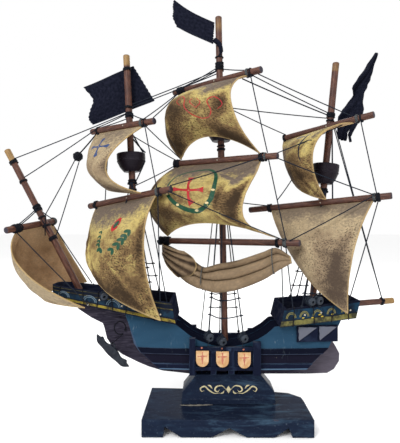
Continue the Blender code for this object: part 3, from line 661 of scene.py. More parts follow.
class Form:
    """Collects shapes, in millimetres, and makes them one piece."""

    def __init__(self):
        self.verts, self.faces, self.uvs, self.slots = [], [], [], []
        # tone marks hems and rod ends; the second mark holds dirt and painted fold shade.
        self.marks = {"tone": [], "soil": []}

    def add(self, verts, faces, uvs, slot=0, **marks):
        first = len(self.verts)
        self.verts.extend(map(tuple, verts))
        for name, values in self.marks.items():
            values.extend(marks.get(name) or [0.0] * len(verts))
        self.faces.extend(tuple(first + i for i in face) for face in faces)
        self.uvs.extend(uvs)
        self.slots.extend([slot] * len(faces) if isinstance(slot, int) else slot)

    def tube(self, path, radius, sides=8, slot=0, tones=None, closed=False):
        path = np.array([tuple(p) for p in path], float)
        radii = np.broadcast_to(np.array(radius, float), (len(path),))
        across, up = frame_along(path)
        turn = np.linspace(0, math.tau, sides, endpoint=False)
        ring = path[:, None] + radii[:, None, None] * (
            across[:, None] * np.cos(turn)[None, :, None] + up[:, None] * np.sin(turn)[None, :, None])
        length = np.concatenate([[0], np.cumsum(np.linalg.norm(np.diff(path, axis=0), axis=1))]) * MM
        girth = math.tau * max(radii) * MM
        rows = len(path)
        faces, uvs = [], []
        for i in range(rows if closed else rows - 1):
            k = (i + 1) % rows
            for j in range(sides):
                m = (j + 1) % sides
                faces.append((i * sides + j, i * sides + m, k * sides + m, k * sides + j))
                u0, u1 = girth * j / sides, girth * (j + 1) / sides
                v0, v1 = length[i], length[k] if k else length[i] + 0.001
                uvs.append(((u0, v0), (u1, v0), (u1, v1), (u0, v1)))
        if not closed:
            for row in (0, rows - 1):
                faces.append(tuple(row * sides + j for j in range(sides)))
                uvs.append([(math.cos(a) * radii[row] * MM, math.sin(a) * radii[row] * MM) for a in turn])
        spread = None if tones is None else [t for t in tones for _ in range(sides)]
        self.add(ring.reshape(-1, 3), faces, uvs, slot, tone=spread)
        return self

    def coil(self, middle, axis, radius, turns, thick, slot=0, pitch=1.9, seed=0, steps=14):
        """Thread wound round a rod: turns side by side, a little uneven, with their ends tucked in."""
        draw = random.Random(seed)
        axis = Vector(axis).normalized()
        side = axis.orthogonal().normalized()
        other = axis.cross(side)
        width = pitch * thick * (turns - 1)
        start = draw.uniform(0, math.tau)
        path = []
        count = int(turns * steps)
        for i in range(count + 1):
            s = i / count
            a = start + math.tau * turns * s
            r = radius + thick * (0.85 + 0.35 * math.sin(2.3 * a + seed) * (turns > 1.5))
            path.append(Vector(middle) + axis * (width * (s - 0.5) + 0.2 * thick * math.sin(1.7 * a))
                        + side * (r * math.cos(a)) + other * (r * math.sin(a)))
        return self.tube(path, thick, 6, slot)

    def knot(self, middle, size, slot=0, seed=0):
        """A small lump of overlapping loops of thread."""
        draw = random.Random(seed)
        for _ in range(3):
            axis = Vector((draw.uniform(-1, 1), draw.uniform(-1, 1), draw.uniform(-1, 1))).normalized()
            side = axis.orthogonal().normalized()
            other = axis.cross(side)
            loop = [Vector(middle) + side * (size * math.cos(a)) + other * (size * 0.75 * math.sin(a))
                    for a in np.linspace(0, math.tau, 10, endpoint=False)]
            self.tube(loop, size * 0.55, 6, slot, closed=True)
        return self

    def lathe(self, profile, place, steps=48, slot=0):
        """A closed (radius, height) profile turned about the Z of place."""
        turn = np.linspace(0, math.tau, steps, endpoint=False)
        rows = len(profile)
        verts = [place @ Vector((r * math.cos(a), r * math.sin(a), z)) for r, z in profile for a in turn]
        gaps = [math.dist(p, q) for p, q in zip(profile, profile[1:] + profile[:1])]
        length = np.concatenate([[0], np.cumsum(gaps)]) * MM
        girth = math.tau * max(r for r, _ in profile) * MM
        faces, uvs = [], []
        for i in range(rows):
            k = (i + 1) % rows
            for j in range(steps):
                m = (j + 1) % steps
                faces.append((i * steps + j, i * steps + m, k * steps + m, k * steps + j))
                u0, u1 = girth * j / steps, girth * (j + 1) / steps
                uvs.append(((u0, length[i]), (u1, length[i]), (u1, length[i + 1]), (u0, length[i + 1])))
        self.add(verts, faces, uvs, slot)
        return self

    def cloth(self, surface, across, down, thick, slots=(0, 0, 0), hem=0.0, soil=None):
        """A thin slab on surface(u, v), which takes arrays and gives points. slots: front, back, edge."""
        v, u = np.meshgrid(np.linspace(0, 1, down), np.linspace(0, 1, across), indexing="ij")
        middle = surface(u, v)
        du, dv = np.gradient(middle, axis=1), np.gradient(middle, axis=0)
        face = -np.cross(du, dv)
        face /= np.linalg.norm(face, axis=2)[..., None] + 1e-9
        width = np.linalg.norm(np.diff(middle, axis=1), axis=2).sum(axis=1).max()
        height = np.linalg.norm(np.diff(middle, axis=0), axis=2).sum(axis=0).max()
        border = np.minimum(np.minimum(u, 1 - u) * width, np.minimum(v, 1 - v) * height)
        lip = np.clip(1 - border / hem, 0, 1) if hem else border * 0
        half = (thick / 2 * (1 + 0.5 * (lip > 0.35)))[..., None]
        front, back = middle + face * half, middle - face * half
        count = across * down
        verts = np.vstack([front.reshape(-1, 3), back.reshape(-1, 3)])
        flat = np.stack([u * width * MM, v * height * MM], axis=2).reshape(-1, 2)
        faces, uvs, marks = [], [], []

        def quad(corners, slot):
            faces.append(corners)
            uvs.append([tuple(flat[c % count]) for c in corners])
            marks.append(slot)

        for r in range(down - 1):
            for c in range(across - 1):
                a, b = r * across + c, (r + 1) * across + c
                quad((a, b, b + 1, a + 1), slots[0])
                quad((a + count, a + 1 + count, b + 1 + count, b + count), slots[1])
        rim = [(0, c) for c in range(across)] + [(r, across - 1) for r in range(1, down)]
        rim += [(down - 1, c) for c in range(across - 2, -1, -1)] + [(r, 0) for r in range(down - 2, 0, -1)]
        loop = [r * across + c for r, c in rim]
        for a, b in zip(loop, loop[1:] + loop[:1]):
            quad((a, b, b + count, a + count), slots[2])
        # Per-point dirt and painted fold shade, kept on the mesh for the canvas material.
        dirt = soil(u, v) if soil else u * 0
        self.add(verts, faces, uvs, marks, tone=list(lip.reshape(-1)) * 2, soil=list(dirt.reshape(-1)) * 2)
        cells = np.linalg.norm(
            np.cross(np.diff(middle, axis=1)[:-1], np.diff(middle, axis=0)[:, :-1]), axis=2)
        self.flat = width * MM, height * MM, float(cells.sum()) * MM * MM
        return self

    def declare_sheet(self):
        """Works out the size this form's cloth was cut to; nothing is done with it."""
        width, height, area = self.flat
        min(area, width * height)

    def ribbon(self, surface, path, widths, lift=0.45, slot=0, across=4):
        """A painted stroke on a sail: a thin closed strip along a path of (u, v), width in millimetres."""
        path = np.array(path, float)
        widths = np.interp(np.linspace(0, 1, len(path)), np.linspace(0, 1, len(widths)), widths)
        step = 1e-3
        rows = []
        run = np.gradient(path, axis=0)
        for (u, v), ahead, wide in zip(path, run, widths):
            at = surface(np.array(u), np.array(v))
            du = (surface(np.array(u + step), np.array(v)) - at) / step
            dv = (surface(np.array(u), np.array(v + step)) - at) / step
            face = -np.cross(du, dv)
            face /= np.linalg.norm(face)
            side = np.cross(face, du * ahead[0] + dv * ahead[1])
            side /= np.linalg.norm(side) + 1e-9
            shift = np.linalg.lstsq(np.stack([du, dv], axis=1), side, rcond=None)[0]
            for level in (lift, 0.1):
                row = []
                for s in np.linspace(-0.5, 0.5, across + 1):
                    uu, vv = np.array([u, v]) + shift * s * wide
                    row.append(surface(np.array(uu), np.array(vv)) + face * level)
                rows.append(row)
        top, low = rows[0::2], rows[1::2]
        wide = across + 1
        verts = [p for row in top for p in row] + [p for row in low for p in row]
        count = len(top) * wide
        faces = []
        for r in range(len(top) - 1):
            for c in range(across):
                a, b = r * wide + c, (r + 1) * wide + c
                faces.append((a, a + 1, b + 1, b))
                faces.append((a + count, b + count, b + 1 + count, a + 1 + count))
        loop = [c for c in range(wide)] + [r * wide + across for r in range(1, len(top))]
        loop += [(len(top) - 1) * wide + c for c in range(across - 1, -1, -1)]
        loop += [r * wide for r in range(len(top) - 2, 0, -1)]
        faces += [(a, b, b + count, a + count) for a, b in zip(loop, loop[1:] + loop[:1])]
        uvs = [[(verts[i][0] * MM, verts[i][2] * MM) for i in face] for face in faces]
        self.add(verts, faces, uvs, slot)
        return self

    def brushed(self, line, radii, face, share):
        """A painted stroke on a flat side: a tube pressed to this share of its thickness about Y = face."""
        flat = Form().tube(line, radii, 8)
        self.add([(x, face + (y - face) * share, z) for x, y, z in flat.verts], flat.faces, flat.uvs)

    def plate(self, outline, depth):
        """A flat outline of points, pushed along depth."""
        count = len(outline)
        near = [Vector(p) for p in outline]
        verts = near + [p + Vector(depth) for p in near]
        faces = [tuple(range(count)), tuple(range(2 * count - 1, count - 1, -1))]
        faces += [(i, (i + 1) % count, (i + 1) % count + count, i + count) for i in range(count)]
        uvs = [[(verts[i].x * MM, verts[i].z * MM) for i in face] for face in faces]
        self.add(verts, faces, uvs)

    def piece(self, name, body, materials, slot, replaced=(), blend=None, sharp=45, soften=0.0):
        mesh = bpy.data.meshes.new(name)
        mesh.from_pydata([(x * MM, y * MM, z * MM) for x, y, z in self.verts], [], self.faces)
        layer = mesh.uv_layers.new(name="grain")
        layer.data.foreach_set("uv", [c for corners in self.uvs for uv in corners for c in uv])
        for mark, values in self.marks.items():
            mesh.attributes.new(mark, "FLOAT", "POINT").data.foreach_set("value", values)
        for made in materials:
            mesh.materials.append(made)
        mesh.polygons.foreach_set("material_index", self.slots)
        form = bmesh.new()
        form.from_mesh(mesh)
        bmesh.ops.recalc_face_normals(form, faces=form.faces)
        form.to_mesh(mesh)
        form.free()
        mesh.shade_smooth()
        mesh.set_sharp_from_angle(angle=math.radians(sharp))
        made = placed(name, mesh)
        if soften:
            rounding(made, soften)
        if blend:
            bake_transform(made)
        else:
            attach(made, body)
        if replaced:
            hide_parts(*([replaced] if isinstance(replaced, str) else replaced))
        return made


def placed(name, data):
    made = bpy.data.objects.new(name, data)
    bpy.context.scene.collection.objects.link(made)
    return made


def rounding(made, width):
    bevel = made.modifiers.new("rounded edges", "BEVEL")
    bevel.width = width * MM
    bevel.segments = 2
    bevel.limit_method = "ANGLE"
    bevel.angle_limit = math.radians(32)
    bevel.harden_normals = False


def roomy(start, direction):
    """A matrix at a point whose Z runs along the direction."""
    turn = Vector(direction).to_track_quat("Z", "Y").to_matrix().to_4x4()
    return Matrix.Translation(Vector(start)) @ turn


# ---------------------------------------------------------------- wooden parts kept from the model


def softened(node, material, width):
    """A painted copy of a model's node with its edges really rounded."""
    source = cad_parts[node]
    mesh = source.data.copy()
    mesh.materials.clear()
    mesh.materials.append(material)
    form = bmesh.new()
    form.from_mesh(mesh)
    bmesh.ops.remove_doubles(form, verts=form.verts, dist=1e-6)
    bmesh.ops.dissolve_limit(form, angle_limit=math.radians(1.5), verts=form.verts, edges=form.edges)
    form.to_mesh(mesh)
    form.free()
    mesh.shade_smooth()
    mesh.set_sharp_from_angle(angle=math.radians(35))
    made = placed(node + "_finished", mesh)
    rounding(made, width)
    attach(made, HULL)
    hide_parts(node)


def wooden_parts():
    softened("base_board", stand_gloss(), 0.6)
    softened("stand_block", stand_gloss(), 0.5)
    softened("keel_board", keel_wood(), 0.5)
    softened("forecastle", forecastle_paint(), 0.4)
    softened("aftcastle", aftcastle_paint(), 0.4)
    for side in ("port", "starboard"):
        softened(f"hull_{side}", hull_paint(), 0.35)
        softened(f"channel_{side}", navy_paint(), 0.45)
        softened(f"gunports_{side}", navy_paint(), 0.3)
        for number in (1, 2, 3):
            softened(f"shield_{side}_{number}", shield_paint(), 0.25)


# ---------------------------------------------------------------- spars


def rod(name, node, body, start, end, radius, tones, wobble=0.12):
    """A hand-rubbed dowel with rounded ends. tones are (share along it, tone)."""
    start, end = np.array(start, float), np.array(end, float)
    length = np.linalg.norm(end - start)
    edge = 0.9 / length
    stations = [0, edge * 0.25, edge * 0.6, edge, *np.linspace(0.03, 0.97, 40), 1 - edge, 1 - edge * 0.6,
                1 - edge * 0.25, 1]
    ends = {0: 0.70, 1: 0.86, 2: 0.96, 3: 1.0}
    last = len(stations) - 1
    path, radii, shades = [], [], []
    for i, s in enumerate(stations):
        path.append(start + (end - start) * s)
        uneven = wobble * noise.noise(Vector((s * 7, length, radius)))
        radii.append(radius * ends.get(min(i, last - i), 1.0) + uneven * (3 < i < last - 3))
        shades.append(float(np.interp(s, *zip(*tones))))
    Form().tube(path, radii, 28, 0, shades).piece(
        name, body, [stained_dowel()], "stained_dowel", node, sharp=35)


def spars():
    bare_tip = {"fore_mast": 10, "main_mast": 16, "mizzen_mast": 9, "bowsprit": 13, "boomkin": 9}
    for name, (heel, head) in MASTS.items():
        radius = {"bowsprit": 3.0, "boomkin": 2.85}.get(name, MAST_RADIUS)
        share = 1 - bare_tip[name] / (Vector(head) - Vector(heel)).length
        tip = 0.2 if name in ("main_mast", "mizzen_mast") else 0.0
        tones = [(0, 0.5), (share - 0.012, 0.5), (share, tip), (0.995, tip), (1, 0.4)]
        rod(name + "_rod", name, HULL, heel, head, radius, tones)
    for name, body in RIGS.items():
        far, near = yard_reach(name)
        dark = [(0, 0.95), (0.05, 0.6), (0.2, 0.5), (0.9, 0.5), (0.985, 0.6), (1, 1.0)]
        rod(name + "_rod", name, body, on_yard(name, -far), on_yard(name, near), YARD_RADIUS, dark)


def nests():
    for name, (mast, floor, height, rim, foot) in NESTS.items():
        base = mast_point(mast, floor)
        up = mast_point(mast, floor + 10) - base
        wall, bore = 1.8, MAST_RADIUS + 0.25
        belt = height * 0.55
        profile = [
            (rim - 0.5, height), (rim, height - 0.5), (rim, belt + 2.2), (rim - 0.35, belt + 1.8),
            (rim - 0.35, belt + 1.4), (rim, belt + 1.0), (rim, belt), (rim - 0.5, belt - 0.8),
            ((rim + foot) / 2 + 0.35, belt * 0.45), (foot + 0.2, 0.6), (foot - 0.3, 0), (bore, 0),
            (bore, 2.4), (foot - 0.6, 2.4), (rim - wall, height * 0.58), (rim - wall, height - 0.4),
            (rim - wall + 0.4, height),
        ]
        Form().lathe(profile, roomy(base, up), 56).piece(
            name + "_bowl", HULL, [nest_stain()], "nest_stain", name, sharp=40)


# ---------------------------------------------------------------- sails


def plain_sail(name):
    yard, head_far, head_near, clew_far, clew_near, far_out, near_out, foot_out, belly = SAILS[name]
    late, depth = PORT_BOW.get(name, (1.0, 1.0))
    peak = (late / (late + 1)) ** late / (late + 1) / depth
    drop = Vector((0, 0, -HEAD_DROP))
    top_far, top_near = (np.array(on_yard(yard, d) + drop) for d in (head_far, head_near))
    low_far, low_near, far_out, near_out, foot_out, belly = (
        np.array(v, float) for v in (clew_far, clew_near, far_out, near_out, foot_out, belly))

    def surface(u, v):
        u, v = u[..., None], v[..., None]
        head, foot = top_far + (top_near - top_far) * u, low_far + (low_near - low_far) * u
        side_bow, foot_bow = 4 * v * (1 - v), 4 * u * (1 - u)
        near_bow = v**late * (1 - v) / peak
        return (head + (foot - head) * v + far_out * ((1 - u) * side_bow) + near_out * (u * near_bow)
                + foot_out * (foot_bow * v) + belly * (side_bow * foot_bow))

    return surface


def creased_sail(name):
    """The sail's surface with its creases and the unevenness of stiffened cloth."""
    plain = plain_sail(name)
    out = np.array(SAILS[name][8], float)
    out /= np.linalg.norm(out)
    seed = float(len(name))

    def crease(u, v, fold):
        u0, v0, u1, v1, high, wide = fold
        run = np.array([u1 - u0, v1 - v0])
        share = np.clip(((u - u0) * run[0] + (v - v0) * run[1]) / run.dot(run), 0, 1)
        away = np.hypot(u - u0 - share * run[0], v - v0 - share * run[1])
        fade = np.sin(np.pi * np.clip(share * 0.92 + 0.06, 0, 1)) ** 0.7
        return 1.5 * high * fade * np.exp(-(away / (wide * (0.45 + 0.75 * share))) ** 2)

    def rough(u, v):
        return (0.9 * noise.noise(Vector((u * 3.1, v * 3.1, seed)))
                + 0.3 * noise.noise(Vector((u * 9, v * 9, seed + 5)))
                + 0.12 * noise.noise(Vector((u * 26, v * 26, seed + 9))))

    uneven = np.vectorize(rough, otypes=[float])

    def relief(u, v):
        lift = sum(crease(u, v, fold) for fold in FOLDS[name]) + uneven(u, v)
        return lift * np.clip(v * 12, 0, 1)

    def surface(u, v):
        return plain(u, v) + out * relief(u, v)[..., None]

    return surface, relief


def soiled(name, relief):
    """Dirt on the cloth in spots, with painted shade in the valleys of its creases and bumps and a painted
    highlight on their ridges; the level is lowest just below its yard.
    """
    over_all, *spots = SOIL[name]

    def soil(u, v):
        # Painted shade in the valleys of the creases and bumps, painted highlight on their ridges.
        dirt = over_all - 0.28 * relief(u, v)
        for across, down, wide, high, strength in spots:
            dirt = dirt + strength * np.exp(-((u - across) / wide) ** 2 - ((v - down) / high) ** 2)
        dirt = dirt - 1.0 * np.exp(-(v / 0.25) ** 2)
        return np.clip(dirt, -0.8, 1.3)

    return soil


def square_sails():
    for name, spec in SAILS.items():
        front = canvas("dusty_canvas" if name in DUSTY_SAILS else "gilt_canvas")
        form = Form()
        surface, relief = creased_sail(name)
        form.cloth(surface, 61, 61, CANVAS, (0, 1, 2), hem=1.6, soil=soiled(name, relief))
        looks = [front, canvas("brown_canvas"), canvas("hem_canvas")]
        sail = form.piece(name + "_cloth", RIGS[spec[0]], looks, "sail_canvas", name, sharp=70)
        form.declare_sheet()
        seam = Form()
        for edge in hem_lines():
            line = [surface(np.array(u), np.array(v)) for u, v in edge]
            seam.tube(line, 0.55, 6)
        seam.piece(name + "_hem", RIGS[spec[0]], [canvas("hem_canvas")], "sail_canvas")


def hem_lines():
    """Both leeches and the foot of a sail, as lines of (u, v)."""
    steps = np.linspace(0, 1, 49)
    return [[(0, v) for v in steps], [(1, v) for v in steps], [(u, 1) for u in steps]]


def line_on(points, per=6, closed=False):
    """A smooth (u, v) line."""
    return curve_through([(u, v, 0) for u, v in points], per, closed)[:, :2]


def arm(centre, end):
    """A straight stroke of (u, v) that starts just off the centre."""
    centre, end = np.array(centre), np.array(end)
    return [tuple(centre + (end - centre) * s) for s in np.linspace(0.04, 1, 9)]


FORE_COURSE_SIZE = 88.0, 117.0
LOBE_TURN = 0.55


def leaf(form, surface, tip, root, wide):
    """A heart-shaped leaf, as two lobes that leave one root."""
    size = np.array(FORE_COURSE_SIZE)
    along = (np.array(tip) - np.array(root)) * size
    for turn in (-LOBE_TURN, LOBE_TURN):
        c, n = math.cos(turn), math.sin(turn)
        lobe = np.array([along[0] * c - along[1] * n, along[0] * n + along[1] * c]) * 1.3 / size
        path = [tuple(np.array(root) + lobe * share) for share in np.linspace(0, 1, 9)]
        form.ribbon(surface, path, [wide * share for share in (0.12, 0.4, 0.58, 0.64, 0.62, 0.5, 0.2)])


def emblems():
    """Painted marks on the sails' fore faces: crosses, a round shield, a wreath and a scroll."""
    green = brushed_paint("green_mark", 0.003, 0.043, 0.020, 0.55)
    red = brushed_paint("red_mark", 0.30, 0.010, 0.014, 0.55)
    blue = brushed_paint("blue_mark", 0.022, 0.042, 0.12, 0.6)
    black = brushed_paint("black_mark", 0.006, 0.007, 0.014, 0.6)
    gold = brushed_paint("gold_mark", 0.48, 0.39, 0.20, 0.5)

    surface, _ = creased_sail("main_topsail")
    form = Form()
    rim = line_on([(0.455, 0.47), (0.40, 0.35), (0.36, 0.23), (0.44, 0.15), (0.60, 0.13), (0.72, 0.20),
                   (0.79, 0.32), (0.823, 0.46), (0.81, 0.60), (0.72, 0.73), (0.63, 0.745), (0.57, 0.68),
                   (0.515, 0.575)], 8, closed=True)
    rim = np.vstack([rim, rim[:1]])
    form.ribbon(surface, rim, [3.0, 2.0, 1.6, 1.8, 2.4, 3.4, 4.0, 4.2, 4.2, 4.4, 3.8, 3.4, 3.0], slot=0)
    centre = (0.655, 0.44)
    arms = ((0.555, 0.255), 6.4), ((0.51, 0.44), 5.4), ((0.75, 0.41), 6.6), ((0.70, 0.635), 6.2)
    for end, wide in arms:
        form.ribbon(surface, arm(centre, end), [3.0, 2.4, 2.2, 2.3, 2.9, 4.2, wide], lift=0.5, slot=1)
    for u, v in ((0.812, 0.40), (0.812, 0.575), (0.71, 0.728), (0.573, 0.675), (0.48, 0.52)):
        form.ribbon(surface, [(u - 0.013, v), (u - 0.006, v), (u + 0.006, v), (u + 0.013, v)],
                    [0.6, 2.1, 2.1, 0.6], lift=0.65, slot=2, across=2)
    form.piece("main_topsail_mark", RIGS["main_topsail_yard"], [green, red, gold], "sail_canvas")

    surface, _ = creased_sail("fore_topsail")
    form = Form()
    centre = (0.52, 0.23)
    for end in ((0.40, 0.11), (0.665, 0.37), (0.215, 0.235), (0.80, 0.222)):
        form.ribbon(surface, arm(centre, end), [3.0, 2.0, 1.8, 2.2, 3.2, 4.6, 3.2], slot=0)
    form.piece("fore_topsail_mark", RIGS["fore_topsail_yard"], [blue], "sail_canvas")

    surface, _ = creased_sail("fore_course")
    form = Form()
    left = [((0.492, 0.565), (0.50, 0.52), 5.0), ((0.455, 0.51), (0.468, 0.475), 3.4),
            ((0.455, 0.468), (0.466, 0.438), 3.0), ((0.450, 0.424), (0.462, 0.392), 2.8),
            ((0.443, 0.372), (0.455, 0.342), 2.6)]
    right = [((0.645, 0.55), (0.685, 0.515), 4.8), ((0.708, 0.50), (0.75, 0.462), 4.8),
             ((0.755, 0.456), (0.795, 0.42), 4.8), ((0.79, 0.418), (0.825, 0.386), 4.8),
             ((0.822, 0.378), (0.86, 0.345), 4.8)]
    for tip, root, wide in left + right:
        leaf(form, surface, tip, root, wide)
    form.ribbon(surface, arm((0.618, 0.355), (0.648, 0.29)), [1.6, 4.6, 6.6, 6.2], slot=1)
    form.ribbon(surface, arm((0.652, 0.285), (0.682, 0.215)), [6.6, 6.4, 4.6, 1.6], slot=1)
    form.ribbon(surface, arm((0.630, 0.325), (0.672, 0.245)), [1.0, 3.8, 4.2, 1.2], lift=0.6, slot=0)
    form.piece("fore_course_mark", RIGS["fore_course_yard"], [green, red], "sail_canvas")

    surface, _ = creased_sail("main_topgallant_sail")
    form = Form()
    curl = [(0.17, -0.10), (0.22, -0.19), (0.17, -0.27), (0.11, -0.20), (0.12, -0.06), (0.07, 0.06),
            (0.0, 0.10)]
    for way in (-1, 1):
        mirrored = [(0.70 + way * a, 0.62 + b) for a, b in curl]
        form.ribbon(surface, line_on(mirrored), [0.4, 0.7, 0.85, 0.85, 0.7], slot=0, across=2)
        form.ribbon(surface, line_on([(0.70 + way * 0.02, 0.40), (0.70 + way * 0.05, 0.47), (0.70, 0.56)]),
                    [0.4, 0.8, 0.4], slot=0, across=2)
    form.piece("main_topgallant_mark", RIGS["main_topgallant_yard"], [red], "sail_canvas")

    surface, _ = creased_sail("mizzen_topsail")
    form = Form()
    form.ribbon(surface, line_on([(0.69, 0.10), (0.70, 0.18), (0.70, 0.29), (0.75, 0.42), (0.80, 0.53)]),
                [1.5, 2.0, 1.6, 1.1, 0.6])
    form.ribbon(surface, line_on([(0.70, 0.29), (0.80, 0.26), (0.91, 0.25)]), [1.6, 1.4, 0.8])
    form.ribbon(surface, arm((0.66, 0.15), (0.40, 0.12)), [1.4, 3.2, 4.6, 2.0])
    form.piece("mizzen_topsail_mark", RIGS["mizzen_topsail_yard"], [black], "sail_canvas")


# The edges of the furled band: points along its top and its foot.
FURLED_TOP = (
    (-42, 18, 163), (-30, 9, 158), (-18, -3, 153), (-8, -13, 146), (-1, -18, 142.5), (6, -21, 144),
    (12, -23, 146), (29, -28, 149.7), (50, -31, 157), (62, -32.5, 161), (74, -34, 154),
)
FURLED_LOW = (
    (-42, 17, 151), (-30, 8, 139), (-20, -2, 130), (-10, -12, 125.5), (-1, -18, 123.5), (6, -21, 122),
    (12, -23, 121.4), (29, -28, 125), (50, -31, 133.6), (64, -32.5, 142.5), (75, -34, 149),
)
# The folded cloth's section: distance out of the yard's plane, and share of the way down.
FURLED_FOLDS = (
    (0.5, 0), (2.6, -0.03), (4.2, 0.06), (3.2, 0.17), (1.2, 0.24), (4.6, 0.27), (6.4, 0.38), (5.2, 0.50),
    (2.0, 0.56), (5.4, 0.60), (7.6, 0.74), (6.4, 0.92), (3.0, 1.0), (-0.5, 0.95), (-2.4, 0.7),
    (-0.8, 0.42), (-2.6, 0.15),
)
FURLED_TIES = ((0.385, 5.2), (0.87, 4.4))  # share along the band, reach out of its plane


def furled_main_course():
    """The main course, taken in: a pleated band of canvas slung under its yard, and a bunch at its end."""
    top, low = curve_through(FURLED_TOP, 8), curve_through(FURLED_LOW, 8)
    section = curve_through([(a, b, 0) for a, b in FURLED_FOLDS], 6)[:, :2]
    _, along = yard_frame("main_course_yard")
    out = np.array(Vector((0, 0, -1)).cross(along).normalized())

    def between_edges(u, share):
        upper, lower = at_share(top, u), at_share(low, u)
        return upper + (lower - upper) * share[..., None]

    def surface(u, v):
        near, share = np.moveaxis(at_share(section, v), -1, 0)
        wide = np.interp(u, (0, 0.12, 0.4, 0.8, 1), (0.5, 1.15, 1.1, 0.75, 0.3))
        ripple = 1 + 0.14 * np.sin(u * 19 + v * 9) * np.sin(v * 3.1) + 0.06 * np.sin(u * 47 + v * 4)
        tie = np.exp(-((u - 0.385) / 0.022) ** 2) * 0.35 + np.exp(-((u - 0.87) / 0.02) ** 2) * 0.3
        fan = share + 0.05 * np.sin(6 * u + 5 * share) * np.sin(np.pi * share)
        return between_edges(u, fan) + (near * wide * ripple * (1 - tie))[..., None] * out

    # Painted shade across the folded band: darker where its folds sink in and towards its bunched end, lighter
    # where they stand out.
    def band_fold_shade(u, v):
        near = at_share(section, v)[..., 0]
        return np.clip(1.0 - near / 4.2, -0.3, 1.2) + 0.5 * np.exp(-(u / 0.2) ** 2)

    form = Form()
    form.cloth(surface, 97, 97, 0.8, hem=1.5, soil=band_fold_shade)
    furled = [canvas("furled_canvas")]
    band = form.piece("furled_course_cloth", RIGS["main_course_yard"], furled, "sail_canvas",
                      "furled_main_course", sharp=70)
    form.declare_sheet()

    throat = curve_through([(-42, 13, 163), (-42, 12, 157), (-41, 11, 151)], 8)
    mouth = curve_through([(-20, -8, 157), (-11, -15, 151), (-8, -19, 143.5), (-13, -16, 136),
                           (-25, -7, 133)], 8)

    def bunch(u, v):
        inner, outer = at_share(throat, v), at_share(mouth, v)
        pleat = 1.5 * np.sin(v * math.tau * 4) * np.sin(np.pi * np.clip(u * 1.05, 0, 1)) ** 0.6
        roll = 8.5 * np.sin(np.pi * np.clip(u, 0, 1)) ** 0.7 * (0.75 + 0.25 * np.sin(np.pi * v))
        return inner + (outer - inner) * u[..., None] + (roll + pleat + 2.0)[..., None] * out

    form = Form()
    # Painted shade in the pleats' valleys and painted highlight on their ridges, about a middle level.
    form.cloth(bunch, 41, 65, 0.8, hem=1.2, soil=lambda u, v: 0.45 - 0.6 * np.sin(v * math.tau * 4))
    lump = form.piece("furled_course_bunch", RIGS["main_course_yard"], furled, "sail_canvas", sharp=70)
    form.declare_sheet()

    ties = Form()
    for share, reach in FURLED_TIES:
        ring = [between_edges(np.array(share), np.array(0.5 - 0.55 * math.cos(a)))
                + out * (reach * math.sin(a) + 1.8)
                for a in np.linspace(0, math.tau, 24, endpoint=False)]
        ties.tube(ring, 0.45, 6, closed=True)
    ties.piece("furled_course_ties", RIGS["main_course_yard"], [grey_thread()], "rigging_thread")


# ---------------------------------------------------------------- flags


FLAGS = {  # name: cloth's middle Y, left edge, right edge, how far it waves
    "fore_flag": (6.0, ((-119.6, 316), (-110.5, 304.3), (-112.5, 294), (-114, 285), (-110.5, 279.5)),
                  ((-71, 337), (-66, 329), (-60, 319), (-54.5, 310), (-50, 303)), 1.2),
    "main_flag": (-1.0, ((-30.7, 397.8), (-31.8, 392), (-31.2, 386), (-31.7, 380), (-28, 371.9)),
                  ((8.0, 376), (7.8, 371), (7.4, 366), (7.1, 360), (6.9, 355.5)), 1.0),
    "mizzen_flag": (5.0, ((165, 349.5), (153, 331), (141.5, 315), (143.6, 308), (134, 295), (127.8, 285.6),
                          (128.5, 275), (129, 264.8)),
                    ((167, 348), (162, 329.6), (157, 318), (153.5, 307.6), (153.5, 293), (148.5, 284),
                     (140, 275), (136.3, 263.6)), 3.0),
}


def flags():
    for name, (middle, left, right, wave) in FLAGS.items():
        left_line = curve_through([(x, 0, z) for x, z in left], 8)
        right_line = curve_through([(x, 0, z) for x, z in right], 8)
        fold = 16.0 if name == "mizzen_flag" else 7.0

        def surface(u, v, a=left_line, b=right_line, middle=middle, wave=wave, fold=fold):
            (x0, _, z0), (x1, _, z1) = (np.moveaxis(at_share(line, v), -1, 0) for line in (a, b))
            y = middle + wave * np.sin(fold * (0.6 * u + v)) * np.cos(2.3 * u)
            fray = 0.35 * np.sin(v * 61) * (np.abs(u - 0.5) > 0.47)
            sag = -2.2 * np.sin(np.pi * u) * (1 - 0.6 * v) * (name == "main_flag")
            return np.stack([x0 + (x1 - x0) * u + fray, y, z0 + (z1 - z0) * u + sag], axis=-1)

        form = Form()
        form.cloth(surface, 41, 41, 0.5, hem=1.2)
        cloth = form.piece(name + "_cloth", HULL, [flag_cloth()], "flag_cloth", name, sharp=60)
        form.declare_sheet()
    tails = Form()
    tails.tube(curve_through([(8, -3.6, 358), (13, -4.2, 353), (14.5, -3.8, 347), (12.8, -3.6, 343)], 5),
               [2.4] * 6 + [2.0] * 5 + [1.2] * 5, 8)
    tails.tube(curve_through([(145, 2, 281), (141, -1, 275), (138, 0, 268), (139.5, 2, 262)], 5),
               [2.2] * 6 + [2.0] * 5 + [1.3] * 5, 7)
    tails.piece("flag_tails", HULL, [flag_cloth()], "flag_cloth")


# ---------------------------------------------------------------- hull details


CASTLES = {  # X of the inner end, the foot's height there and slope aft, the rim's, then half breadths at X
    "forecastle": (-27.0, 92.6, -0.187, 112.2, -0.119,
                   (-144.5, -141, -134, -120, -95, -60, -27), (7.5, 12.6, 15.6, 17.5, 20.3, 24, 27)),
    "aftcastle": (66.0, 90.2, 0.092, 106.8, 0.085, (66, 90, 115, 137), (28, 26, 23.2, 20.2)),
}


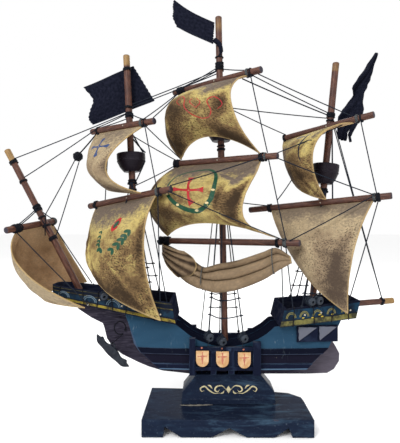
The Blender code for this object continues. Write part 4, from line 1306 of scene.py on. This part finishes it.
def castle_wall(castle, x, share, side=-1, out=0.3):
    """A point on the outside of a castle's side wall: share is 0 at its foot and 1 at its rim."""
    inner_x, foot, foot_slope, rim, rim_slope, stations, halves = CASTLES[castle]
    foot, rim = foot + (x - inner_x) * foot_slope, rim + (x - inner_x) * rim_slope
    half = float(np.interp(x, stations, halves))
    return Vector((x, side * (half - 0.6 * (1 - share) + out), foot + (rim - foot) * share))


def castle_trim():
    """Painted arches, dabs and nails on both sides of the castles, with threads wound down them."""
    pale = brushed_paint("pale_arch", 0.085, 0.13, 0.17, 0.6)
    yellow = brushed_paint("yellow_dab", 0.42, 0.30, 0.02, 0.5)
    olive = brushed_paint("olive_arch", 0.13, 0.115, 0.035, 0.6)
    arches = {"forecastle": ([(-131, 5.5), (-106, 6.5), (-84, 6.5), (-60, 6)], pale, 0.28, 0.42),
              "aftcastle": ([(76, 4.5), (88, 4.2), (100, 4.0), (113, 4.0), (126, 3.6)], olive, 0.42, 0.34)}
    for castle, (spots, ink, low, high) in arches.items():
        for title, side in SIDES:
            form = Form()
            for x, wide in spots:
                for scale in (1.0, 0.78):
                    line = [castle_wall(castle, x + wide * scale * math.cos(a),
                                        low + high * scale * math.sin(a), side, 0.15)
                            for a in np.linspace(0.1, math.pi - 0.1, 13)]
                    form.tube(line, 0.42, 6)
            form.piece(f"{castle}_arches_{title}", HULL, [ink], "castle_paint")
    threads = {"forecastle": (-134, -113, -98, -86, -71, -48), "aftcastle": (79, 96, 115, 128)}
    nails = {"forecastle": ((-108, 0.1), (-97, 0.52), (-76, 0.42), (-41, 0.35)),
             "aftcastle": ((88.5, 0.55), (103.5, 0.58), (131, 0.52))}
    for castle, places in threads.items():
        for title, side in SIDES:
            form = Form()
            for number, x in enumerate(places):
                slant = 1.6 * math.sin(3 * number + side)
                line = [castle_wall(castle, x + slant * (1 - s), s, side, 0.45)
                        for s in np.linspace(-0.03, 1.0, 7)]
                rim = castle_wall(castle, x, 1.0, side, 0.0)
                line += [rim + Vector((0, -side * 1.3, 0.5)), rim + Vector((0, -side * 3.2, -2))]
                form.tube(line, 0.42, 6)
            form.piece(f"{castle}_threads_{title}", HULL, [dark_thread()], "rigging_thread")
            form = Form()
            for x, share in nails[castle]:
                nail_head(form, castle_wall(castle, x, share, side, 0.1), (0, side, 0))
            form.piece(f"{castle}_nails_{title}", HULL, [nail_metal()], "anchor_paint")
    dabs = Form()
    for x, share in ((87, 0.40), (95.5, 0.36), (102, 0.48), (104.5, 0.36), (114, 0.42), (127, 0.40)):
        spot = castle_wall("aftcastle", x, share, -1, 0.05)
        dab = [spot + Vector((-1.1, 0, -0.2)), spot, spot + Vector((1.2, -0.1, 0.3))]
        dabs.tube(dab, [0.35, 0.7, 0.3], 6)
    dabs.piece("aftcastle_dabs", HULL, [yellow], "castle_paint")


def nail_head(form, point, direction, radius=1.0):
    profile = [(0.02, 0.75), (radius * 0.6, 0.6), (radius * 0.95, 0.2), (radius, 0.0), (0.02, -0.4)]
    form.lathe(profile, roomy(point, direction), 14)


def gunport_facets():
    """A pale plate on the upper facet of each gun-port block, with brush strokes across it: the pale facet is
    painted light, as if lit from above.
    """
    pale = brushed_paint("pale_facet", 0.080, 0.086, 0.112, 0.6)
    for title, side in SIDES:
        form = Form()
        for x0, x1, z0, z1 in ((83.4, 101.4, 76.2, 89.6), (102.4, 119.8, 76.6, 90.0)):
            def out(x, proud):
                beam = float(np.interp(x, (60, 100, 126), (20, 18.6, 16.6)))
                return side * (beam + 0.6 + proud + 0.12)
            corners = [(x0 + 0.5, 3.4, z0 + 1.0), (x1 - 1.0, 3.4, z1 - 0.4), (x0 + 0.5, 1.6, z1 - 0.4)]
            edge = []
            for (xa, pa, za), (xb, pb, zb) in zip(corners, corners[1:] + corners[:1]):
                for s in np.linspace(0, 1, 9)[:-1]:
                    shiver = 0.25 * math.sin(37 * s + xa)
                    edge.append(((xa + (xb - xa) * s) + shiver, out(xa + (xb - xa) * s, pa + (pb - pa) * s),
                                 za + (zb - za) * s + shiver * 0.6))
            # Painted light: the pale plate over the upper facet.
            form.plate(edge, (0, -side * 0.5, 0))
            for k in range(7):
                z = z1 - 1.2 - k * 1.6
                x_end = x0 + (x1 - x0) * (z - z0) / (z1 - z0)
                proud = 1.6 + 1.8 * (z1 - z) / (z1 - z0)
                line = [Vector((x, out(x, proud + 0.9 * (x - x0) / (x1 - x0)), z))
                        for x in np.linspace(x0 + 1.0, max(x_end - 1.2, x0 + 1.6), 5)]
                form.tube(line, 0.16, 5)
        form.piece(f"gunport_facets_{title}", HULL, [pale], "navy_paint")


def shield_crosses():
    """A faded red cross on each shield."""
    faded = brushed_paint("faded_red", 0.36, 0.115, 0.075, 0.65)
    for title, side in SIDES:
        form = Form()
        for x, z in SHIELD_SPOTS:
            face = side * SHIELD_FACE
            upright = (x, z + 6.2), (x, z - 4.2), 1.0
            level = (x - 4.2, z + 2.4), (x + 4.2, z + 2.6), 0.9
            for (xa, za), (xb, zb), wide in (upright, level):
                steps = np.linspace(0, 1, 9)
                line = [(xa + (xb - xa) * s, face, za + (zb - za) * s) for s in steps]
                form.brushed(line, [wide * (0.75 + 0.3 * math.sin(9 * s + x)) for s in steps], face, 0.22)
            nail_head(form, (x - 0.6, side * 24.6, z + 9.4), (0, side, 0.1), 0.9)
        form.piece(f"shield_crosses_{title}", HULL, [faded], "shield_paint")


def bead(form, point, direction, radius, length, bore=1.3):
    half, turn = length / 2, 0.9
    profile = [(radius - 0.25, half - 0.3), (radius, half - turn), (radius, -half + turn),
               (radius - 0.3, -half + 0.3), (radius - turn, -half), (bore, -half), (bore, half),
               (radius - turn, half)]
    place = roomy(point, direction)
    form.lathe(profile, place, 32)
    axis = place.to_3x3() @ Vector((0, 0, 1))
    for k, shift in enumerate((-0.28, 0.12)):
        spot = Vector(point) + axis * (length * shift)
        form.coil(spot, axis, radius, 2.2, 0.42, 1, seed=k + int(abs(point[0])))


def deadeyes():
    for number, (x, z) in enumerate(MAIN_DEADEYES, 1):
        form = Form()
        bead(form, (x, -25.6, z), (0.45, -0.9, -0.2), 3.6, 8)
        tail = curve_through([(x, -25.8, z - 3.4), (x - 0.8, -27.4, z - 6.5), (x - 0.4, -26, z - 9.5)], 5)
        form.tube(tail, 0.45, 6, 1)
        form.knot((x + 0.6, -25.4, z + 4.4), 1.0, 1, number)
        form.piece(f"main_deadeye_bead_{number}", HULL, [bead_glaze(), slate_thread()], "bead_glaze",
                   f"main_deadeye_{number}")
    for number, (x, inboard) in enumerate(((93.5, 0), (100.8, 0.9)), 1):
        rim = castle_wall("aftcastle", x, 1.0, -1, 0.0)
        form = Form()
        bead(form, (x, rim.y + inboard, rim.z + 4.6), (0.5, -1, -0.1), 3.6, 8)
        form.piece(f"mizzen_deadeye_bead_{number}", HULL, [bead_glaze(), slate_thread()], "bead_glaze",
                   f"mizzen_deadeye_{number}")
    form = Form()
    bead(form, (-91, -25.6, 118.8), (0.2, -1, -0.2), 3.3, 7.5)
    form.piece("fore_deadeye_bead", HULL, [bead_glaze(), slate_thread()], "bead_glaze", "fore_deadeye")


SCROLL_STROKES = (  # half width, then points from the middle of the block
    (0.75, ((2.4, 0), (6, 3.4), (11, 2.6), (12.6, -0.6), (10, -2.2), (8.4, -0.2))),
    (0.7, ((8, -3.2), (13, -3.6), (18, -0.8), (22, 2.8), (26, 1.0), (25, -1.8), (22.6, -0.8))),
    (0.8, ((15, 0.6), (17, 3.2), (19.5, 4.0))),
    (0.7, ((4.0, -1.0), (5.4, -3.2), (7.6, -3.6))),
)
BLOCK_MIDDLE = 20.9, 29.4
BLOCK_FACE = 13.25


def block_ornament():
    """A gilt scroll border on the stand's block, on both sides, and a smear of old glue at its foot."""
    gilt = brushed_paint("gilt", 0.50, 0.44, 0.26, 0.45)
    middle_x, middle_z = BLOCK_MIDDLE
    for title, side in SIDES:
        face = side * BLOCK_FACE
        form = Form()

        def stroke(points, wide, face=face, form=form):
            line = curve_through([(middle_x + a, face, middle_z + b) for a, b in points], 6)
            spots = np.linspace(0, math.pi, len(line))
            form.brushed(line, [max(0.14, wide * math.sin(s)) for s in spots], face, 0.35)

        for way in (-1, 1):
            for wide, points in SCROLL_STROKES:
                stroke([(way * a, b) for a, b in points], wide)
        diamond = [(middle_x + a, face - side * 0.2, middle_z + b)
                   for a, b in ((0, 3.4), (2.2, 0), (0, -3.4), (-2.2, 0))]
        form.plate(diamond, (0, side * 0.45, 0))
        form.piece(f"block_ornament_{title}", HULL, [gilt], "stand_gloss")
    steps = range(20)
    line = [(middle_x - 45 + 1.6 * i, -14.2 - 0.9 * math.sin(i * 0.22), 15.3) for i in steps]
    radii = [0.25 + 0.85 * math.sin(math.pi * (i + 1) / 21) * (0.7 + 0.3 * math.sin(i * 1.3))
             for i in steps]
    dull = brushed_paint("old_glue", 0.13, 0.12, 0.10, 0.5)
    Form().tube(line, radii, 8).piece("block_glue", HULL, [dull], "stand_gloss")


def anchor():
    x0, y0, z0 = ANCHOR_CENTRE
    blade = line_on([(-21.3, 0.8), (-16.2, -3.6), (-9, -4.2), (0, -5.0), (9, -4.2), (16.2, -3.6),
                     (21.3, 0.8)], 5)
    back = line_on([(21.3, 0.8), (17.4, 1.4), (15.4, 3.0), (10, 1.4), (3.5, 3.2), (-3.5, 3.2),
                    (-10, 1.4), (-15.4, 3.0), (-17.4, 1.4), (-21.3, 0.8)], 4)[1:-1]
    slope = math.radians(-45)
    run, rise = math.cos(slope), math.sin(slope)
    outline = [(x0 + s * run - w * rise, y0 - 1.3, z0 + s * rise + w * run) for s, w in [*blade, *back]]
    form = Form()
    form.plate(outline, (0, 2.6, 0))
    ring = [Vector((x0 + 2.2 * math.cos(a), y0, ANCHOR_PIVOT[2] - 2.2 + 2.2 * math.sin(a)))
            for a in np.linspace(0, math.tau, 24, endpoint=False)]
    form.tube(ring, 0.7, 10, closed=True)
    form.piece("anchor_blade", "anchor_rig", [anchor_paint()], "anchor_paint", "anchor", soften=0.45)
    pivot = Vector(ANCHOR_PIVOT)
    loop = [Vector((-81.5 + 5.4 * math.cos(a), -5.1, 84.2 + 6.0 * math.sin(a)))
            for a in np.linspace(-0.35, 5.2, 26)]
    line = [*loop, Vector((-79.6, -6.2, 77.5)), pivot + Vector((1.5, 0.6, 1.6)), pivot]
    form = Form()
    form.tube(curve_through(line, 3), 0.4, 6)
    form.knot((-76.4, -5.3, 82.6), 0.9)
    form.knot(pivot + Vector((0, 0, 0.3)), 0.8, seed=3)
    form.piece("anchor_thread", HULL, [dark_thread()], "rigging_thread")


# ---------------------------------------------------------------- lashings and rigging


def lashings():
    """Thread wound round the masts, the bowsprit and the yards."""
    mast_wraps = [  # spar, height, turns, thickness
        ("main_mast", 333.5, 8, 0.55), ("main_mast", 342.5, 1.6, 0.5), ("main_mast", 254, 3, 0.5),
        ("main_mast", 257.5, 2, 0.45), ("fore_mast", 331, 4, 0.5), ("fore_mast", 294.5, 3, 0.5),
        ("fore_mast", 287, 6, 0.5), ("fore_mast", 224.5, 2.6, 0.45), ("fore_mast", 215.6, 3, 0.5),
        ("mizzen_mast", 287, 6, 0.5), ("mizzen_mast", 281.5, 2, 0.5), ("mizzen_mast", 216, 3, 0.45),
    ]
    for spar in ("fore_mast", "main_mast", "mizzen_mast"):
        form = Form()
        for seed, (mast, height, turns, thick) in enumerate(mast_wraps):
            if mast == spar:
                spot = mast_point(mast, height)
                form.coil(spot, spar_direction(mast), MAST_RADIUS, turns, thick, seed=seed)
                form.knot(spot + Vector((1.0, -MAST_RADIUS - 0.9, 0)), 0.9, seed=seed)
        form.piece(spar + "_lashings", HULL, [dark_thread()], "rigging_thread")
    form = Form()
    bowsprit_wraps = (  # share along it, turns, thickness
        (0.91, 4, 0.55), (0.775, 3, 0.5), (0.583, 7, 0.55), (0.37, 4, 0.6), (0.46, 3, 0.5), (0.52, 2.2, 0.5),
    )
    for seed, (share, turns, thick) in enumerate(bowsprit_wraps):
        spot = along_spar("bowsprit", share)
        form.coil(spot, spar_direction("bowsprit"), 3.0, turns, thick, seed=seed + 20)
        form.knot(spot + Vector((0.8, -3.8, 0.4)), 0.9, seed=seed)
    for way in (-1, 1):
        cross = [along_spar("bowsprit", 0.46 + 0.035 * s)
                 + Vector((4.6 * way * s * 0.6, -3.7 * (1 - 0.4 * abs(s)), 4.6 * s))
                 for s in np.linspace(-1, 1, 7)]
        form.tube(cross, 0.55, 6)
    form.coil(along_spar("boomkin", 0.77), spar_direction("boomkin"), 2.85, 3, 0.5, seed=41)
    form.knot(along_spar("boomkin", 0.77) + Vector((0.6, -3.4, 1.6)), 1.0, seed=4)
    form.piece("bowsprit_lashings", HULL, [dark_thread()], "rigging_thread")

    yard_wraps = {  # yard: (distance from its nail, turns, thickness, 0 dark or 1 grey)
        "fore_topsail_yard": ((-36, 3, 0.5, 0), (22, 3, 0.6, 1), (25.5, 2, 0.5, 0)),
        "fore_course_yard": ((-41.5, 4, 0.6, 0), (34.5, 3, 0.65, 1), (37.5, 1.6, 0.5, 0)),
        "main_topgallant_yard": ((-44, 6, 0.65, 0), (-38, 4, 0.6, 0), (36, 3, 0.65, 1), (39, 2, 0.6, 0)),
        "main_topsail_yard": ((-45.5, 6, 0.7, 0), (43, 4, 0.65, 0), (46.5, 2.4, 0.6, 1)),
        "main_course_yard": ((-60, 8, 0.8, 0), (-56, 5, 0.7, 0), (54, 3, 0.6, 0), (60.5, 3, 0.75, 1)),
        "mizzen_topsail_yard": ((-44, 3, 0.5, 0), (28, 3, 0.6, 1), (31.5, 2, 0.5, 0)),
        "mizzen_course_yard": ((-50, 4, 0.6, 0), (46.5, 3, 0.6, 1), (50, 4, 0.6, 0)),
        "spritsail_yard": ((-17, 3, 0.55, 1), (27.5, 6, 0.65, 0), (23, 2, 0.5, 0)),
    }
    for yard, wraps in yard_wraps.items():
        _, along = yard_frame(yard)
        form = Form()
        for seed, (distance, turns, thick, grey) in enumerate(wraps):
            spot = on_yard(yard, distance)
            form.coil(spot, along, YARD_RADIUS, turns, thick, grey, seed=seed + len(yard))
            form.knot(spot + Vector((0.4, -2.0, -3.3)), 1.0, 0, seed=seed)
        form.piece(yard + "_lashings", RIGS[yard], [dark_thread(), grey_thread()], "rigging_thread")
        form = Form()
        nail, _ = yard_frame(yard)
        facing = (nail - mast_axis_near(yard, nail)).normalized()
        nail_head(form, nail + facing * (YARD_RADIUS - 0.15), facing, 0.75)
        form.piece(yard + "_nail_head", RIGS[yard], [nail_metal()], "anchor_paint")


def mast_axis_near(yard, nail):
    if yard == "spritsail_yard":
        return along_spar("bowsprit", SPRITSAIL_YARD_SHARE)
    return mast_point(YARDS[yard][0], nail.z)


def place_of(end):
    """(point, body) of a thread's end: a mast and height, a yard and distance, or a point on the hull."""
    if isinstance(end[0], str):
        name, where, *shift = end
        shift = Vector(shift[0]) if shift else Vector((0, 0, 0))
        if name in RIGS:
            return on_yard(name, where) + shift, RIGS[name]
        if name in ("bowsprit", "boomkin"):
            return along_spar(name, where) + shift, HULL
        return mast_point(name, where) + shift, HULL
    return Vector(end), HULL


def laid_over(line, name):
    """The taut line, pushed out to port by the named sail wherever the cloth is in its way."""
    surface, _ = creased_sail(name)
    u, v = (grid.ravel() for grid in np.meshgrid(np.linspace(0, 1, 61), np.linspace(0, 1, 61)))
    cloth = surface(u, v)
    away = np.hypot(cloth[:, None, 0] - line[:, 0], cloth[:, None, 2] - line[:, 2])
    in_front = cloth[away.argmin(axis=0), 1] - 3.2
    out = np.where(away.min(axis=0) < 3, np.minimum(line[:, 1], in_front), line[:, 1])
    count = len(line)
    taut = [min(out[i] + (out[j] - out[i]) * (k - i) / (j - i)
                for i in range(k + 1) for j in range(k, count) if j > i) for k in range(count)]
    return np.column_stack([line[:, 0], taut, line[:, 2]])


def stay(name, a, b, thick=0.5, sag=0.6, material=slate_thread, over=None):
    """One rigging thread. Between two yards it is two halves that meet at a point."""
    (start, body_a), (end, body_b) = place_of(a), place_of(b)
    line = sagging(start, end, sag, 16)
    if over:
        line = laid_over(line, over)

    def half(title, path, first, second):
        form = Form().tube(path, thick, 7)
        if first == second:
            return form.piece(title, first, [material()], "rigging_thread")
        return form.piece(title, None, [material()], "rigging_thread",
                          blend=(first, second, Vector(path[0]) * MM, Vector(path[-1]) * MM))

    if HULL in (body_a, body_b) or body_a == body_b:
        half(name, line, body_a, body_b)
    else:
        half(name + "_a", line[:9], body_a, HULL)
        half(name + "_b", line[8:], HULL, body_b)


MAIN_TOPSAIL_SHEET = ("main_topsail_yard", 49, (0, -3, -3)), ("main_course_yard", 61, (0, -3, 3))
STAYS = (
    ("fore_stay", ("bowsprit", 0.91, (0, -1, 3)), ("fore_mast", 290)),
    ("fore_inner_stay", ("bowsprit", 0.775, (0, -1, 3)), ("fore_topsail_yard", -37, (0, -2, 2))),
    ("fore_inner_stay_top", ("fore_topsail_yard", -37, (0, -2, 2)), ("fore_mast", 284, (0, -2, 0))),
    ("fore_lift_starboard", ("fore_topsail_yard", -36, (0, -2, 3)), ("fore_mast", 289, (0, -2, 0))),
    ("fore_lift_port", ("fore_topsail_yard", 23, (0, -2, 3)), ("fore_mast", 289, (0, -2, 0))),
    ("sprit_lift_port", ("spritsail_yard", 27.5, (0, 0, 2)), ("bowsprit", 0.58, (0, -3, 0))),
    ("sprit_lift_port_2", ("spritsail_yard", 24, (0, 0, 2)), ("bowsprit", 0.57, (0, -3, 0))),
    ("sprit_lift_starboard", ("spritsail_yard", -17, (0, 0, 2)), ("bowsprit", 0.58, (0, 3, 0))),
    ("sprit_brace_port", ("spritsail_yard", 27, (0, -1, -3)), (-106.8, -22.0, 110.2)),
    ("sprit_brace_starboard", ("spritsail_yard", -16, (0, 1, -3)), (-114, 16.5, 123.4)),
    ("fore_main_stay", ("fore_mast", 296.5), ("main_mast", 331)),
    ("fore_main_stay_2", ("fore_mast", 294), ("main_mast", 328)),
    ("topgallant_lift_starboard", ("main_topgallant_yard", -40, (0, -2, 3)),
     ("main_mast", 333, (0, -3, 0))),
    ("topgallant_lift_starboard_2", ("main_topgallant_yard", -36, (0, -2, 3)),
     ("main_mast", 330, (0, -3, 0))),
    ("topgallant_lift_port", ("main_topgallant_yard", 36, (0, 1, 3)), ("main_mast", 333, (0, 3, 0))),
    ("topgallant_brace_starboard", ("main_topgallant_yard", -48, (-1, -1, -3)),
     ("fore_topsail_yard", 35, (0, -1, 3))),
    ("topgallant_inner_brace", ("fore_topsail_yard", 22, (0, 0, 3)),
     ("main_topgallant_yard", -50, (0, 0, -2))),
    ("fore_topsail_tack", ("fore_topsail_yard", 25, (0, -4, -3)), ("main_topsail_yard", -40, (0, -4, 3))),
    ("main_topsail_lift_1", ("fore_mast", 268, (2, 2, 0)), ("main_topsail_yard", -44, (0, -1, 2))),
    ("main_topsail_lift_2", ("fore_mast", 219, (2, -2, 0)), ("main_topsail_yard", -46, (0, -1, -1))),
    ("main_topsail_brace", ("fore_course_yard", 48, (0, -1, 3)), ("main_topsail_yard", 45, (0, -3.4, 0))),
    ("fore_clew_starboard", ("fore_topsail_yard", -22, (0, 2, -3)), ("fore_course_yard", -31, (0, 3, 2))),
    ("fore_tack_port", ("fore_topsail_yard", 25, (0, -3, -2)), ("fore_course_yard", 34, (0, -3, 3))),
    ("fore_sheet_port", ("fore_course_yard", 35, (0, -3, -3)), (-41, -26.6, 112.6)),
    ("fore_sheet_port_2", ("fore_course_yard", 20, (2, 4, -3)), (-33, -20, 98)),
    ("main_mizzen_lift_1", ("main_topgallant_yard", 40, (0, -2, 0)),
     ("mizzen_topsail_yard", 24, (0, -1, 3))),
    ("main_mizzen_lift_2", ("main_topgallant_yard", 37, (0, -3, -2)), ("mizzen_mast", 287, (0, -3, 0))),
    ("main_mizzen_lift_3", ("main_topgallant_yard", 30, (0, 2, -3)),
     ("mizzen_mast", 285, (0, -3, 0)), 0.6),
    ("main_mizzen_stay", ("main_mast", 296, (0, 2, 0)), ("mizzen_mast", 284)),
    ("main_mizzen_stay_2", ("main_mast", 299, (0, 3, 0)), ("mizzen_topsail_yard", -43, (0, -1, 3))),
    ("topgallant_sheet", ("main_topgallant_yard", 38, (0, -3, -3)),
     ("main_topsail_yard", 48, (0, -3, 3))),
    ("main_topsail_sheet", *MAIN_TOPSAIL_SHEET),
    ("main_course_sheet_1", ("main_course_yard", 61, (0, -3, -3)), (77.5, -27.6, 107.5)),
    ("main_course_sheet_2", ("main_course_yard", 58, (0, 3, -3)), (70.5, -20.5, 96)),
    ("mizzen_course_lift_1", ("main_topsail_yard", 56, (0, -3, -2)),
     ("mizzen_course_yard", 45, (0, -5, 2))),
    ("mizzen_topsail_brace", ("main_topsail_yard", 56, (0, -1, 2)),
     ("mizzen_topsail_yard", 12, (0, -7, -3))),
    ("mizzen_tack", ("mizzen_topsail_yard", 30, (0, -3, -3)), ("mizzen_course_yard", 48, (0, -2, 3))),
    ("mizzen_course_lift_2", ("main_mast", 206, (2, 3, 0)), ("mizzen_course_yard", -50, (0, -2, 2))),
    ("mizzen_course_sheet", ("mizzen_course_yard", 49, (0, -3, -3)), (129, -21.8, 111.5)),
    ("mizzen_course_brace", ("mizzen_course_yard", 44, (0, -3.6, 1)),
     ("main_course_yard", 64, (0, -3.4, 2))),
    ("mizzen_backstay_1", ("mizzen_mast", 282, (3, 0, 0)), ("boomkin", 0.77, (0, -1, 3))),
    ("mizzen_backstay_2", ("mizzen_mast", 276, (3, -2, 0)), ("boomkin", 0.76, (0, -2, 3))),
    ("mizzen_back_guy", ("mizzen_mast", 285, (2, 2, 0)), ("mizzen_course_yard", 12, (0, 4, 3)), 0.7),
    ("main_back_guy", ("main_mast", 262, (0, 3, 0)), (-5, 18, 76.6)),
    ("fore_back_guy_1", ("fore_mast", 268, (3, 1, 0)), (-60, 6, 250.5), 0.7),
    ("fore_back_guy_2", ("fore_mast", 264, (3, -1, 0)), (-57.5, -5, 250.5), 0.7),
    ("fore_back_guy_3", (-58.1, -2, 243), ("fore_mast", 222, (3, -2, 0)), 0.6),
)


def rigging():
    for row in STAYS:
        name, a, b, *thick = row
        stay(name, a, b, *thick)
    stay("main_course_brace", ("fore_course_yard", 46, (0, -3.4, -1.5)), ("main_course_yard", 60, (0, -3.4, 2)),
         over="main_topsail")
    clew = Vector(SAILS["mizzen_topsail"][3]) - on_yard("mizzen_topsail_yard", -45)
    (upper, _), (lower, _) = (place_of(end) for end in MAIN_TOPSAIL_SHEET)
    joint = upper.lerp(lower, 0.5) - Vector((0, 0, 0.6))
    stay("mizzen_topsail_sheet", ("mizzen_topsail_yard", -45, clew), tuple(joint))
    hanging_block()
    shrouds("main_shrouds_port", "main_mast", 231, [(x, -25.0, z + 4.6) for x, z in MAIN_DEADEYES],
            (0.10, 0.205, 0.30), "main_shrouds_port")
    shrouds("main_shrouds_starboard", "main_mast", 231, [(x, 25.0, 73.0) for x, _ in MAIN_DEADEYES],
            (0.16, 0.25, 0.34), "main_shrouds_starboard")
    for title, side in SIDES:
        mizzen = [(x, side * 25.5, 108.8) for x in (86, 93.5, 101.6)]
        shrouds(f"mizzen_shrouds_{title}", "mizzen_mast", 214, mizzen, (0.11, 0.25), None)
        fore = [(x, -24.0 if side < 0 else castle_wall("forecastle", x, 1.0, 1).y, 118.0 - (x + 75) * 0.1)
                for x in (-91, -60, -48)]
        shrouds(f"fore_shrouds_{title}", "fore_mast", 222, fore, (0.14, 0.26), None)


def shrouds(name, mast, height, feet, ratlines, node):
    """Legs from a row of feet up to one mast, with knotted ratlines across them."""
    side = 1 if feet[0][1] > 0 else -1
    top = mast_point(mast, height)
    heads = [top + Vector((shift, side * (MAST_RADIUS + 1.6), 0)) for shift in (-0.8, 0, 0.8)]
    form = Form()
    for foot, head in zip(feet, heads):
        form.tube(sagging(foot, head, 0.5, 14), 0.55, 7)
        form.knot(foot, 1.1, seed=int(abs(foot[0])))
    for number, share in enumerate(ratlines):
        ends = [Vector(foot).lerp(head, share) for foot, head in zip(feet, heads)]
        run = (ends[2] - ends[0]).normalized() * 2.2
        drop = Vector((0, 0, -0.7))
        near, middle, far = ends
        line = [near - run, near, near.lerp(middle, 0.5) + drop, middle, middle.lerp(far, 0.5) + drop,
                far, far + run]
        form.tube(curve_through(line, 4), 0.58, 6)
        for spot in ends:
            form.knot(spot, 0.85, seed=number)
    form.coil(top, spar_direction(mast), MAST_RADIUS + 0.6, 3, 0.5, seed=7)
    form.piece(name + "_threads", HULL, [slate_thread()], "rigging_thread", node or ())


def hanging_block():
    """The dark block that hangs by the fore topsail yard's end, with its two threads to the bowsprit."""
    middle = Vector((-128.5, 17.5, 250.5))
    tip = on_yard("fore_topsail_yard", -38)
    form = Form()
    profile = [(0.02, 4.6), (2.6, 4.2), (4.2, 2.6), (4.7, 0), (4.2, -2.6), (2.6, -4.2), (0.02, -4.6)]
    form.lathe(profile, roomy(middle, (0.5, -0.2, 0.85)), 24)
    form.coil(middle, (0.5, -0.2, 0.85), 4.3, 2.4, 0.5, seed=3)
    form.coil(middle, (0.85, 0.2, -0.5), 4.4, 1.4, 0.5, seed=5)
    form.piece("hanging_block", HULL, [dark_thread()], "bead_glaze")
    sling = Form().tube(sagging(tip + Vector((0, 0, -2)), middle + Vector((2.4, 0, 3.8)), 0.4, 8), 0.7, 7)
    sling.piece("hanging_block_sling", None, [dark_thread()], "rigging_thread",
                blend=(RIGS["fore_topsail_yard"], HULL, tip * MM, (middle + Vector((2.4, 0, 3.8))) * MM))
    stay("hanging_block_fall_1", tuple(middle + Vector((-3, 0, -3.5))), ("bowsprit", 0.52, (2, 2, 2)))
    stay("hanging_block_fall_2", tuple(middle + Vector((1.5, 0, -4))), ("bowsprit", 0.37, (2, 2, 2)))


# ---------------------------------------------------------------- stage


FLOOR_LEVEL = -0.0004
FLOOR_SIZE = 6
LIT_POINT = (0, 0, 0.2)
LAMPS = (  # name, place, size, power
    ("key", (-0.5, -0.9, 0.95), 0.5, 13.0),
    ("fill", (0.9, -0.8, 0.4), 0.8, 3.0),
    ("back", (0.2, 0.9, 0.9), 0.8, 6.0),
)
CAMERA_PLACE = (0, -0.384, 0.1837)
FOCAL_LENGTH = 32.5
LENS_SHIFT = (-0.0135, 0.0034)


def stage():
    """Pale floor, soft light and the camera level with the middle of the ship."""
    mesh = bpy.data.meshes.new("floor")
    form = bmesh.new()
    bmesh.ops.create_grid(form, x_segments=1, y_segments=1, size=FLOOR_SIZE)
    form.to_mesh(mesh)
    form.free()
    floor = placed("floor", mesh)
    floor.location = (0, 0, FLOOR_LEVEL)
    pale = bpy.data.materials.new("floor_pale")
    pale.use_nodes = True
    pale.node_tree.nodes["Principled BSDF"].inputs["Base Color"].default_value = (0.94, 0.94, 0.94, 1)
    pale.node_tree.nodes["Principled BSDF"].inputs["Roughness"].default_value = 0.9
    mesh.materials.append(pale)

    world = bpy.data.worlds.new("studio")
    bpy.context.scene.world = world
    world.use_nodes = True
    world.node_tree.nodes["Background"].inputs["Color"].default_value = (1, 1, 1, 1)
    world.node_tree.nodes["Background"].inputs["Strength"].default_value = 1.0

    for name, place, size, power in LAMPS:
        lamp = bpy.data.lights.new(name, "AREA")
        lamp.size = size
        lamp.energy = power
        made = placed(name, lamp)
        made.location = place
        made.rotation_euler = (Vector(LIT_POINT) - Vector(place)).to_track_quat("-Z", "Y").to_euler()

    lens = bpy.data.cameras.new("camera")
    lens.lens = FOCAL_LENGTH
    lens.shift_x, lens.shift_y = LENS_SHIFT
    lens.clip_start = 0.01
    camera = placed("camera", lens)
    camera.location = CAMERA_PLACE
    camera.rotation_euler = (math.pi / 2, 0, 0)
    bpy.context.scene.camera = camera
    bpy.context.scene.view_settings.view_transform = "Standard"


def main():
    stage()
    wooden_parts()
    spars()
    nests()
    square_sails()
    emblems()
    furled_main_course()
    flags()
    castle_trim()
    gunport_facets()
    shield_crosses()
    deadeyes()
    block_ornament()
    anchor()
    lashings()
    rigging()


main()
